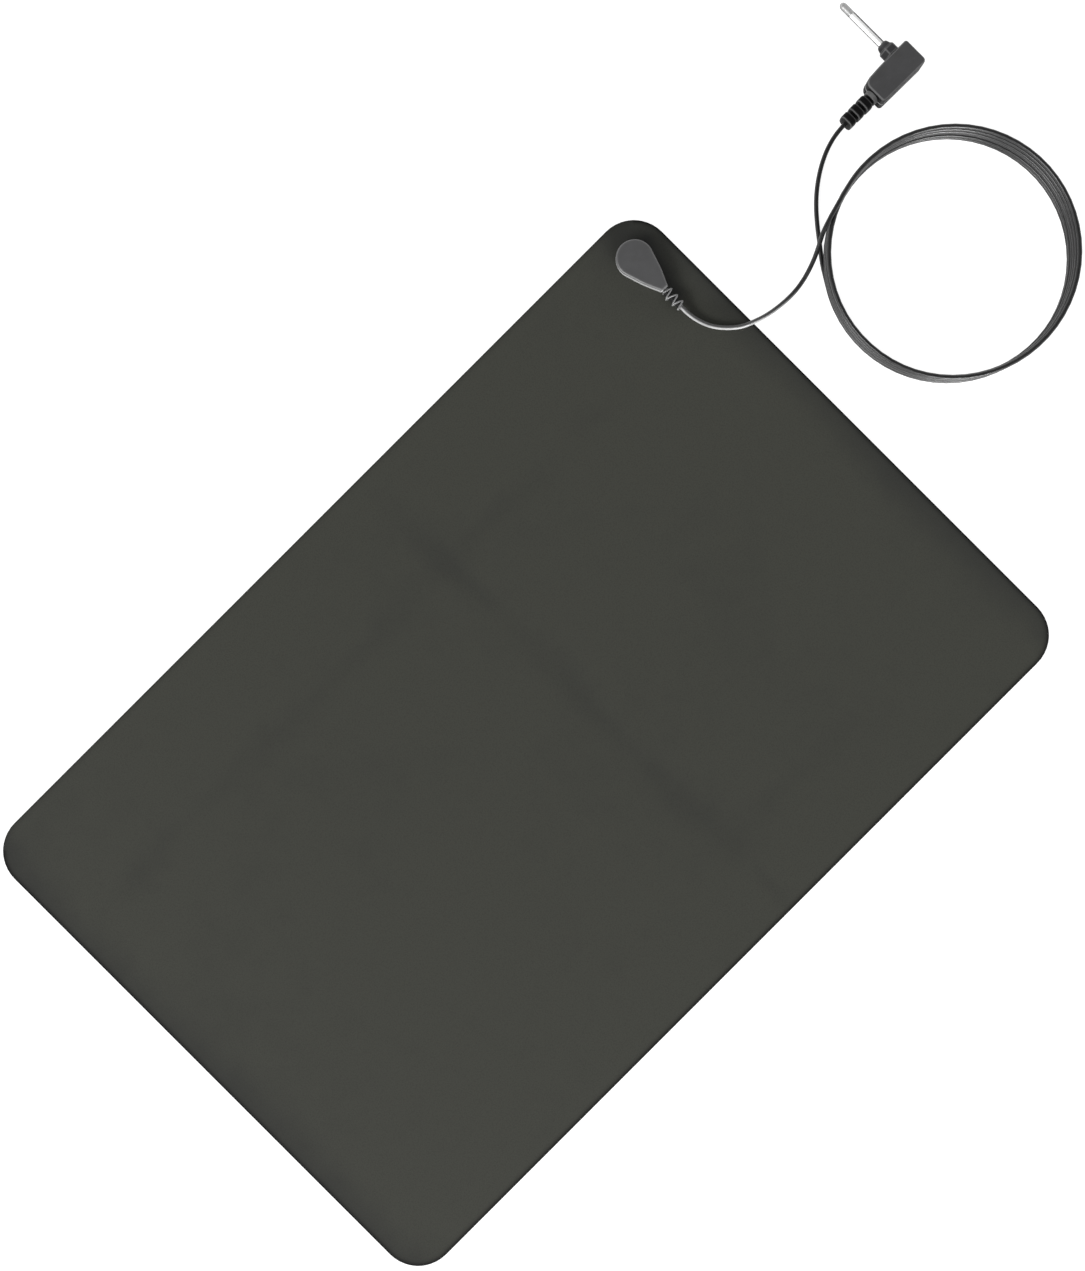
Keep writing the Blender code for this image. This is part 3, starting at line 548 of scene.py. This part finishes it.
def smooth_route(route, spacing):
    """Evenly spaced points on the natural cubic spline through a route."""
    points = np.array(route)
    knots = np.concatenate([[0], np.cumsum(np.linalg.norm(np.diff(points, axis=0), axis=1))])
    step = np.diff(knots)
    count = len(points)
    left = np.eye(count)
    right = np.zeros((count, 3))
    for i in range(1, count - 1):
        left[i, i - 1 : i + 2] = step[i - 1], 2 * (step[i - 1] + step[i]), step[i]
        slopes = (points[i + 1] - points[i]) / step[i] - (points[i] - points[i - 1]) / step[i - 1]
        right[i] = 6 * slopes
    bend = np.linalg.solve(left, right)
    wanted = np.linspace(0, knots[-1], max(2, round(knots[-1] / spacing) + 1))
    found = []
    for where in wanted:
        i = min(int(np.searchsorted(knots, where, side="right")) - 1, count - 2)
        a, b, h = knots[i + 1] - where, where - knots[i], step[i]
        place = (a**3 * bend[i] + b**3 * bend[i + 1]) / (6 * h)
        place += (points[i] / h - bend[i] * h / 6) * a + (points[i + 1] / h - bend[i + 1] * h / 6) * b
        found.append(Vector((place[0], place[1], max(place[2], CORD_RADIUS))))
    return found


def camera():
    data = bpy.data.cameras.new("camera")
    data.sensor_width = SENSOR
    data.lens = SENSOR * VIEW_DISTANCE / VIEW_HEIGHT
    obj = bpy.data.objects.new("camera", data)
    obj.location = CAMERA_AT
    obj.rotation_euler = (0, 0, CAMERA_TURN)
    bpy.context.scene.collection.objects.link(obj)
    bpy.context.scene.camera = obj


# Lead


def coil_points():
    """The wound turns from the top one down, clockwise, each wandering a little in and out."""
    steps = round(COIL_TURNS * COIL_POINTS_PER_TURN)
    points = []
    for i in range(steps + 1):
        share = i / steps
        turned = share * COIL_TURNS
        angle = math.radians(COIL_START - 360 * turned)
        radius = COIL_RADIUS_HIGH + (COIL_RADIUS_LOW - COIL_RADIUS_HIGH) * share
        calm = min(1.0, turned / COIL_CALM_TURNS, (COIL_TURNS - turned) / COIL_CALM_TURNS)
        wander = math.sin(2.3 * turned + 0.6) + 0.6 * math.sin(2 * angle + 1.9 * turned)
        radius += COIL_WANDER * calm * wander
        height = COIL_TOP_Z + (CORD_RADIUS - COIL_TOP_Z) * share
        points.append(COIL_CENTRE + Vector((radius * math.cos(angle), radius * math.sin(angle), height)))
    return points


def cord(finish):
    """The whole lead in one line: from the head, over the mat's edge, round the coil, to the plug."""
    coil = coil_points()
    lead = smooth_route([*LEAD_ROUTE, *coil[1:4]], CORD_DIAMETER)
    start = min(range(len(coil)), key=lambda i: (coil[i] - lead[-1]).length)
    tail = smooth_route([*coil[-4:-1], *TAIL_ROUTE], CORD_DIAMETER)
    points = lead + coil[start + 1 : -4] + tail
    data = bpy.data.curves.new("cord", "CURVE")
    data.dimensions = "3D"
    data.bevel_depth = CORD_RADIUS
    data.bevel_resolution = 4
    data.use_fill_caps = True
    spline = data.splines.new("POLY")
    spline.points.add(len(points) - 1)
    for point, place in zip(spline.points, points):
        point.co = (*place, 1)
    spline.use_smooth = True
    return shown("cord", data, finish, "lead", ("cord_lead", "cord_coil", "cord_tail"))


# Mat

HALF_SPACING = 0.0035
CREASE_REACH = 0.012
CLOSEST_LINES = 0.00015


def sheet_lines(half, creases):
    """Positions of grid lines across the sheet: close together at its edges and creases."""
    near = [0.0, 0.0002, 0.0005, 0.0009, 0.0014, 0.0021, 0.0030, 0.0045, 0.0070, 0.0110, 0.0160, 0.0210]
    lines = [half - d for d in near] + [d - half for d in near]
    lines += list(np.linspace(-half + CORNER_RADIUS, half - CORNER_RADIUS, round(half / HALF_SPACING)))
    for crease in creases:
        lines += list(np.linspace(crease - CREASE_REACH, crease + CREASE_REACH, 13))
    kept = []
    for line in sorted(lines):
        if not kept or line - kept[-1] > CLOSEST_LINES:
            kept.append(line)
    return kept


def rounded(x, y):
    """A place on the plain rectangle, moved so that the sheet's corners are round."""
    over_x = abs(x) - (HALF_X - CORNER_RADIUS)
    over_y = abs(y) - (HALF_Y - CORNER_RADIUS)
    if over_x <= 0 or over_y <= 0:
        return x, y
    reach = max(over_x, over_y)
    if over_x >= over_y:
        turn = math.pi / 4 * over_y / over_x
    else:
        turn = math.pi / 2 - math.pi / 4 * over_x / over_y
    new_x = HALF_X - CORNER_RADIUS + reach * math.cos(turn)
    new_y = HALF_Y - CORNER_RADIUS + reach * math.sin(turn)
    return math.copysign(new_x, x), math.copysign(new_y, y)


def crease_at(x, y):
    """How much a place is creased, from 0 to 1, with ragged edges."""
    total = 0.0
    for axis, where, low, high, weight in CREASES:
        across, along = (x, y) if axis == "x" else (y, x)
        drift = 0.0016 * math.sin(31 * along + 4 * where) + 0.0010 * math.sin(83 * along)
        width = CREASE_WIDTH * (1 + 0.35 * math.sin(47 * along + 9 * where))
        ends = min(1.0, max(0.0, (along - low) / CREASE_FADE), max(0.0, (high - along) / CREASE_FADE))
        patchy = 0.72 + 0.28 * math.sin(59 * along + 20 * where)
        total += weight * ends * patchy * math.exp(-(((across - where - drift) / width) ** 2))
    return min(1.0, total)


def edge_line(x, y):
    """A thin dark line along the rims, faint on the far long side."""
    strong = math.exp(-((min(HALF_X - abs(x), HALF_Y + y) / EDGE_WIDTH) ** 2))
    faint = FAR_EDGE_SHARE * math.exp(-(((HALF_Y - y) / EDGE_WIDTH) ** 2))
    return max(strong, faint)


def painted_shade_at(x, y):
    """Painted shade in bands on the two short edges, and a painted shadow in the connector's corner and
    beside it.
    """
    here = Vector((x, y))
    wave = 0.0022 * math.sin(23 * y) + 0.0012 * math.sin(61 * y)
    painted_shade = math.exp(-(((HALF_X - abs(x) + wave) / EDGE_SHADE_WIDTH) ** 2))
    corner = (here - SNAP.xy - Vector(CORNER_SHADOW_AT)).length / CORNER_SHADOW_WIDTH
    foot = SNAP.xy + Vector(SIDE_SHADOW_FOOT)
    head = SNAP.xy + Vector(SIDE_SHADOW_HEAD)
    share = min(1.0, max(0.0, (here - foot).dot(head - foot) / (head - foot).length_squared))
    beside = (here - foot.lerp(head, share)).length / SIDE_SHADOW_WIDTH
    return min(2.0, painted_shade + math.exp(-(corner**2)) + SIDE_SHADOW_WEIGHT * math.exp(-(beside**2)))


def sheet(name, low, high, edge, finish, hole, detailed=False):
    """A layer of the mat with rims rounded by edge and a hole at the snap. The detailed one is creased."""
    xs = sheet_lines(HALF_X, [c[1] for c in CREASES if c[0] == "x"] if detailed else ())
    ys = sheet_lines(HALF_Y, [c[1] for c in CREASES if c[0] == "y"] if detailed else ())
    mesh = bmesh.new()
    layers = {"crease": [], "edge": [], "painted_shade": []}
    grids = []
    for top in (True, False):
        grid = []
        for x in xs:
            row = []
            for y in ys:
                gap = min(HALF_X - abs(x), HALF_Y - abs(y))
                inward = max(0.0, 1 - gap / edge)
                round_off = edge * (1 - math.sqrt(max(0.0, 1 - inward**2)))
                crease = crease_at(x, y) if detailed else 0.0
                level = high - round_off if top else low + 0.35 * round_off
                if top and detailed:
                    level -= CREASE_DEPTH * crease
                row.append(mesh.verts.new((*rounded(x, y), level)))
                layers["crease"].append(crease)
                layers["edge"].append(edge_line(x, y))
                layers["painted_shade"].append(painted_shade_at(x, y) if detailed else 0.0)
            grid.append(row)
        grids.append(grid)
    for grid in grids:
        for i in range(len(xs) - 1):
            for j in range(len(ys) - 1):
                corners = (grid[i][j], grid[i + 1][j], grid[i + 1][j + 1], grid[i][j + 1])
                away = [math.hypot(v.co.x - SNAP.x, v.co.y - SNAP.y) for v in corners]
                if min(away) > hole:
                    mesh.faces.new(corners if grid is grids[0] else corners[::-1])
    upper, lower = grids
    rim = (
        [(i, 0) for i in range(len(xs))]
        + [(len(xs) - 1, j) for j in range(1, len(ys))]
        + [(i, len(ys) - 1) for i in range(len(xs) - 2, -1, -1)]
        + [(0, j) for j in range(len(ys) - 2, 0, -1)]
    )
    for (i, j), (k, m) in zip(rim, rim[1:] + rim[:1]):
        mesh.faces.new((upper[i][j], lower[i][j], lower[k][m], upper[k][m]))
    for layer_name, values in layers.items():
        layer = mesh.verts.layers.float.new(layer_name)
        for vert, value in zip(list(mesh.verts), values):
            vert[layer] = value
    loose = [v for v in mesh.verts if not v.link_faces]
    bmesh.ops.delete(mesh, geom=loose, context="VERTS")
    made = shown(name, as_mesh(mesh, 50.0), finish, "mat", (name.replace("_layer", "_sheet"),))


# Snap connector


def drop(inset, z):
    """The head's plan at a height: a circle at the snap, drawn out on bulging sides to a neck."""
    round_steps, side_steps = 44, 14
    radius = HEAD_RADIUS - inset
    neck = Vector((NECK_HALF_WIDTH - inset * 0.6, inset - HEAD_LENGTH))
    reach = math.asin(radius / neck.length)
    line = math.atan2(-neck.y, -neck.x) - reach
    start = math.degrees(line) - 90
    round_end = arc((0, 0), radius, start, 180 - start, round_steps)
    first = Vector(round_end[0])
    side = first - neck
    outward = Vector((side.y, -side.x)).normalized()
    right = []
    for i in range(side_steps):
        share = i / side_steps
        bulge = HEAD_BULGE * math.sin(math.pi * share) ** 1.5
        right.append(neck + side * share + outward * bulge)
    right[0] = neck + side.normalized() * 0.0004
    left = [Vector((-p.x, p.y)) for p in reversed(right)]
    end = [Vector((x * neck.x, neck.y)) for x in (-0.86, -0.45, 0.0, 0.45, 0.86)]
    outline = [*right, *(Vector(p) for p in round_end), *left, *end]
    return [(SNAP.x + p.x, SNAP.y + p.y, z) for p in outline]


def circle_like(ring, radius, z):
    """A circle round the snap with a point in the direction of each of a ring's points."""
    made = []
    for x, y, _ in ring:
        angle = math.atan2(y - SNAP.y, x - SNAP.x)
        made.append((SNAP.x + radius * math.cos(angle), SNAP.y + radius * math.sin(angle), z))
    return made


def connector_base(finish):
    """The connector's lower shell: a tray with a hole for the stud."""
    outer = [drop(inset, HEAD_LOW + above) for inset, above in FOOT_PROFILE]
    for inset, below in ((0.0, 0.0004), (0.0002, 0.0001), (0.0004, 0.0)):
        outer.append(drop(inset, HEAD_SPLIT - below))
    inner = [drop(HEAD_WALL, HEAD_SPLIT), drop(HEAD_WALL, HEAD_LOW + HEAD_WALL)]
    hole = [
        circle_like(outer[0], SOCKET_HOLE, HEAD_LOW + HEAD_WALL),
        circle_like(outer[0], SOCKET_HOLE, HEAD_LOW),
    ]
    data = rub(loft(outer + inner + hole, loop=True))
    shown("connector_base_shell", data, finish, "lead", ("connector_base",))


def connector_cover(finish):
    """The connector's upper shell, with a rounded rim and a slightly domed top."""
    rings = [drop(0.0006, COVER_LOW), drop(0.0002, COVER_LOW + 0.0001), drop(0.0, COVER_LOW + 0.0003)]
    for inset, below in RIM_PROFILE:
        rings.append(drop(inset, HEAD_TOP - below))
    rim = rings[-1]
    middle = Vector((SNAP.x, SNAP.y - 0.003))
    for share in (0.94, 0.8, 0.6, 0.4, 0.2, 0.05):
        height = HEAD_TOP + HEAD_DOME * (1 - share**2)
        ring = []
        for x, y, _ in rim:
            ring.append((middle.x + (x - middle.x) * share, middle.y + (y - middle.y) * share, height))
        rings.append(ring)
    data = rub(loft(rings), 6.0, 22.0)
    shown("connector_cover_shell", data, finish, "lead", ("connector_cover",))


def serpentine():
    """The relief's ridge in plan, from the head to the cord: (distance, place across, from -1 to 1)."""
    steps = 8
    turns = ((0.2, -0.6), (2.4, 1.0), (4.3, -1.0), (7.9, 1.0), (10.0, -1.0), (13.0, 1.0), (14.7, -1.0))
    points = []
    for (a, side_a), (b, side_b) in zip(turns, turns[1:]):
        for i in range(steps):
            t = i / steps
            ease = t * t * (3 - 2 * t)
            points.append((a + (b - a) * t, side_a + (side_b - side_a) * (0.5 * t + 0.5 * ease)))
    points.append(turns[-1])
    return [(millimetres / 1000, side) for millimetres, side in points]


def bar(path, half_thickness, half_heights, z):
    """A flat bar swept along a plan path, with rounded long edges."""
    rings = []
    for i, here in enumerate(path):
        before = path[max(i - 1, 0)]
        after = path[min(i + 1, len(path) - 1)]
        along = (after - before).normalized()
        side = Vector((along.y, -along.x))
        half = half_heights[i]
        section = []
        for turn in np.radians(np.linspace(22.5, 382.5, 17)[:-1]):
            c, s = math.cos(turn), math.sin(turn)
            across = half_thickness * math.copysign(abs(c) ** 0.6, c)
            up = half * math.copysign(abs(s) ** 0.45, s)
            section.append((here.x + side.x * across, here.y + side.y * across, z + up))
        rings.append(section)
    return rings


def relief_core_rings():
    """Rings of the relief's tapered core, from the head to the cord."""
    rings = []
    for share in np.linspace(0, 1, 12):
        distance = RELIEF_START + (RELIEF_END - RELIEF_START) * share
        radius = RELIEF_CORE[0] + (RELIEF_CORE[1] - RELIEF_CORE[0]) * share
        if share in (0.0, 1.0):
            radius -= 0.0003
        ring = []
        for turn in np.linspace(0, 2 * math.pi, 25)[:-1]:
            x, z = radius * math.cos(turn), radius * math.sin(turn)
            ring.append((SNAP.x + x, SNAP.y - distance, LEAD_Z + z))
        rings.append(ring)
    return rings


def connector_relief(ridge_finish, core_finish):
    """A soft core inside one serpentine ridge that flexes like a spring."""
    core = rub(loft(relief_core_rings()))
    shown("relief_core", core, core_finish, "lead")
    path, halves = [], []
    for distance, side in serpentine():
        share = distance / (RELIEF_END - RELIEF_START)
        width = RELIEF_HALF_WIDTH[0] + (RELIEF_HALF_WIDTH[1] - RELIEF_HALF_WIDTH[0]) * share
        path.append(Vector((SNAP.x + side * (width - RIDGE_INSET), SNAP.y - RELIEF_START - distance)))
        halves.append(width * RELIEF_HEIGHT_SHARE * (1 - 0.16 * side**2))
    ridge = rub(loft(bar(path, RIDGE_HALF_THICKNESS, halves, LEAD_Z), angle=60.0), 15.0, 45.0)
    shown("relief_ridge", ridge, ridge_finish, "lead", ("connector_strain_relief",))


# Plug


def filleted(corners, steps=8):
    """An outline through (x, y, radius) corners, anticlockwise, each rounded to its radius."""
    outline = []
    for index, (x, y, radius) in enumerate(corners):
        here = Vector((x, y))
        before = (Vector(corners[index - 1][:2]) - here).normalized()
        after = (Vector(corners[(index + 1) % len(corners)][:2]) - here).normalized()
        half = before.angle(after) / 2
        centre = here + (before + after).normalized() * (radius / math.sin(half))
        first = here + before * (radius / math.tan(half)) - centre
        start = math.degrees(math.atan2(first.y, first.x))
        outline += arc(centre, radius, start, start + 180 - 2 * math.degrees(half), steps)
    return outline


def plug_ring(inset, z):
    """The plug's plan at a height above the cord's axis, drawn in by an inset."""
    corners = (
        (inset, inset - 0.0086, 0.0022),
        (PLUG_LENGTH - inset, inset - 0.0090, 0.0028),
        (PLUG_LENGTH - inset, PLUG_SIDE_Y - inset, 0.0018),
        (0.0150, PLUG_SIDE_Y - inset, 0.0200),
        (0.0028 + inset / 2, 0.0093 - inset, 0.0060),
        (inset, 0.0062 - inset / 2, 0.0040),
    )
    corners = [(x, y, max(radius - inset, 0.0005)) for x, y, radius in corners]
    return [(PLUG.x + x, PLUG.y + y, PLUG.z + z) for x, y in filleted(corners)]


def plug_shell(side, finish, name, node):
    """Half of the plug's casing, with rounded rims."""
    rings = [plug_ring(PLUG_WALL, side * PLUG_SEAM), plug_ring(0.0003, side * PLUG_SEAM)]
    rings.append(plug_ring(0.0, side * (PLUG_SEAM + 0.0002)))
    rings.append(plug_ring(0.0, side * (PLUG_SEAM + 0.0006)))
    rings.append(plug_ring(0.0, side * (PLUG_HALF_HEIGHT - PLUG_EDGE - 0.0004)))
    for angle in np.radians(np.linspace(0, 90, 6)):
        inset = PLUG_EDGE * (1 - math.cos(angle))
        rings.append(plug_ring(inset, side * (PLUG_HALF_HEIGHT - PLUG_EDGE * (1 - math.sin(angle)))))
    data = rub(loft(rings, angle=24.0), 8.0, 34.0)
    return shown(name, data, finish, "lead", (node,))


def squarish(x, half, power):
    """A ring about the cord's axis at a distance along it: round at power 1, squarer below."""
    ring = []
    for turn in np.linspace(0, 2 * math.pi, 41)[:-1]:
        c, s = math.cos(turn), math.sin(turn)
        y = half * math.copysign(abs(c) ** power, c)
        z = half * math.copysign(abs(s) ** power, s)
        ring.append((PLUG.x + x, PLUG.y + y, PLUG.z + z))
    return ring


def plug_relief(finish):
    """Three thick blocks on a core, drawn in between them, and a stub behind the casing."""
    stations = [
        (-0.0002, 0.0030, 1.0),
        (-0.0002, 0.0044, 0.8),
        (-0.0004, 0.0047, 0.8),
        (-0.0028, 0.0047, 0.8),
        (-0.0031, 0.0044, 0.8),
        (-0.0032, 0.0034, 1.0),
    ]
    rounding = ((0.0, 0.0007), (0.0002, 0.0002), (0.0006, 0.0), (0.0011, 0.0))
    for block, half in enumerate(BLOCK_HALVES):
        near = BLOCK_START - BLOCK_PITCH * block
        far = near - BLOCK_LENGTH
        stations.append((near + 0.0001, BLOCK_NECK, 0.9))
        stations += [(near - along, half - inset, 0.62) for along, inset in rounding]
        stations += [(far + along, half - inset, 0.62) for along, inset in reversed(rounding)]
        if block < len(BLOCK_HALVES) - 1:
            stations.append((far - 0.0001, BLOCK_NECK, 0.9))
    stations += [(-0.0252, 0.0030, 1.0), (-0.0253, 0.0018, 1.0)]
    rings = [squarish(x, half, power) for x, half, power in stations]
    data = rub(loft(rings, angle=45.0), 14.0, 50.0)
    return shown("plug_relief_blocks", data, finish, "lead", ("plug_strain_relief",))


def hexagon_ring(y, radius, roundness):
    """A ring about the pin's axis: a hexagon with flats above and below, or rounder."""
    ring = []
    half_side = math.pi / 6
    for turn in np.linspace(0, 2 * math.pi, 49)[:-1]:
        flat = math.cos(half_side) / math.cos((turn % (math.pi / 3)) - half_side)
        r = radius * (flat * (1 - roundness) + roundness)
        ring.append((PLUG.x + PIN_X + r * math.cos(turn), PLUG.y + y, PLUG.z + r * math.sin(turn)))
    return ring


def pin_collar(finish):
    """A six-sided insulating flange with a conical boss that the pin comes out of."""
    stations = (
        (0.0086, 0.0027, 1.0),
        (0.0086, 0.0034, 1.0),
        (0.0102, 0.0034, 1.0),
        (0.0102, COLLAR_RADIUS - 0.0004, 0.0),
        (0.0106, COLLAR_RADIUS, 0.0),
        (0.0112, COLLAR_RADIUS, 0.0),
        (0.0144, COLLAR_RADIUS, 0.0),
        (0.0150, COLLAR_RADIUS, 0.0),
        (0.0158, COLLAR_RADIUS - 0.0007, 0.15),
        (0.0162, 0.0050, 0.6),
        (0.0164, 0.0044, 1.0),
        (0.0180, 0.0040, 1.0),
        (0.0192, 0.0036, 1.0),
        (0.0198, 0.0031, 1.0),
        (0.0199, 0.0026, 1.0),
    )
    data = rub(loft([hexagon_ring(*s) for s in stations], loop=True, angle=24.0), 10.0, 40.0)
    return shown("pin_collar_hex", data, finish, "lead", ("pin_collar",))


# Stage


def floor(finish):
    mesh = bmesh.new()
    bmesh.ops.create_grid(mesh, x_segments=24, y_segments=24, size=FLOOR_REACH)
    obj = bpy.data.objects.new("floor", as_mesh(mesh))
    obj.location.z = -FLOOR_DROP
    obj.data.materials.append(finish)
    bpy.context.scene.collection.objects.link(obj)


def area_light(name, at, target, size, power):
    data = bpy.data.lights.new(name, "AREA")
    data.shape = "RECTANGLE"
    data.size, data.size_y = size
    data.energy = power
    obj = bpy.data.objects.new(name, data)
    obj.location = at
    obj.rotation_euler = (Vector(target) - Vector(at)).to_track_quat("-Z", "Y").to_euler()
    bpy.context.scene.collection.objects.link(obj)


def studio():
    """A sky that is brighter at its rim, and two large lights far away."""
    world = bpy.data.worlds.new("studio")
    world.use_nodes = True
    bpy.context.scene.world = world
    nodes, links = world.node_tree.nodes, world.node_tree.links
    split = nodes.new("ShaderNodeSeparateXYZ")
    links.new(nodes.new("ShaderNodeTexCoord").outputs["Generated"], split.inputs["Vector"])
    fade = nodes.new("ShaderNodeMapRange")
    fade.inputs["To Min"].default_value = SKY_RIM
    fade.inputs["To Max"].default_value = SKY_TOP
    links.new(split.outputs["Z"], fade.inputs["Value"])
    background = nodes["Background"]
    background.inputs["Color"].default_value = (1.0, 1.0, 1.0, 1.0)
    links.new(fade.outputs["Result"], background.inputs["Strength"])
    area_light("key", KEY_AT, LIGHT_TARGET, KEY_SIZE, KEY_POWER)
    area_light("fill", FILL_AT, LIGHT_TARGET, FILL_SIZE, FILL_POWER)
    bpy.context.scene.view_settings.view_transform = "Standard"


def repaint(finishes):
    """Gives the CAD nodes that stay visible their detailed materials."""
    for node, finish in finishes.items():
        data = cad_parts[node].data
        data.materials.clear()
        data.materials.append(finish)


def repaint_hardware():
    steel = metal("plated_steel", (0.66, 0.66, 0.65), (0.40, 0.39, 0.37), 0.28, (1, 1, 1))
    spring = metal("spring_steel", (0.52, 0.52, 0.53), (0.30, 0.29, 0.28), 0.32, (1, 60, 1))
    brass = metal("brass", (0.74, 0.56, 0.27), (0.42, 0.29, 0.12), 0.30, (1, 1, 1))
    copper = metal("copper", (0.82, 0.44, 0.28), (0.48, 0.22, 0.12), 0.34, (40, 1, 40))
    repaint(
        {
            "snap_stud": steel,
            "stud_back_cap": steel,
            "snap_socket": steel,
            "socket_spring_left": spring,
            "socket_spring_right": spring,
            "socket_rivet": brass,
            "ring_terminal": brass,
            "resistor": lacquer(),
            "crimp_sleeve": copper,
            "lead_conductor": copper,
            "plug_conductor": copper,
            "ground_pin": pin_plating(),
        }
    )


def mat():
    sheet("backing_layer", 0.0, BACKING_HIGH, SHEET_RIM, backing_rubber(), CAP_HOLE)
    sheet("core_layer", CORE_LOW, CORE_HIGH, SHEET_RIM, felt(), STUD_HOLE)
    sheet(
        "face_layer",
        low=FACE_LOW,
        high=MAT_TOP,
        edge=FACE_RIM,
        finish=leatherette(),
        hole=STUD_HOLE,
        detailed=True,
    )


def main():
    camera()
    lead = cord(sheath())
    casing = moulded("casing_plastic", (0.066, 0.066, 0.067), (0.076, 0.076, 0.078), grey(0.14), 0.34)
    # Lower shell paler grey than the cover: painted light standing in for its lit wall
    painted_lit_base_casing = moulded("base_plastic", grey(0.22), grey(0.27), grey(0.36), 0.34)
    # Plug: painted shade on its upright sides, and pale edges partly painted highlight
    plug_casing = moulded(
        "plug_plastic",
        dark=(0.055, 0.055, 0.056),
        light=(0.063, 0.063, 0.065),
        highlight_and_wear=grey(0.30),
        rough=0.50,
        specular=0.06,
        wall_shade=0.97,
    )
    # Near-black rubber whose pale edges are edge wear and painted highlight
    rubber = moulded("relief_rubber", grey(0.003), grey(0.006), grey(0.20), 0.50, 1400.0, specular=0.08)
    # The ridge is the same rubber, paler than the core as a painted highlight
    ridge_rubber_painted_light = moulded("ridge_rubber_painted_light", grey(0.07), grey(0.10), grey(0.24), 0.36, 1400.0)
    # Collar: painted shade on its upright sides
    collar = moulded(
        "collar_plastic",
        dark=(0.030, 0.030, 0.031),
        light=(0.042, 0.042, 0.044),
        highlight_and_wear=grey(0.16),
        rough=0.45,
        grain=2200.0,
        specular=0.10,
        wall_shade=0.7,
    )
    repaint_hardware()
    mat()
    connector_base(painted_lit_base_casing)
    connector_cover(casing)
    connector_relief(ridge_rubber_painted_light, rubber)
    lower = plug_shell(-1, plug_casing, "plug_casing_lower", "plug_shell_lower")
    upper = plug_shell(1, plug_casing, "plug_casing_upper", "plug_shell_upper")
    blocks = plug_relief(rubber)
    hexagon = pin_collar(collar)
    floor(paper())
    studio()


main()
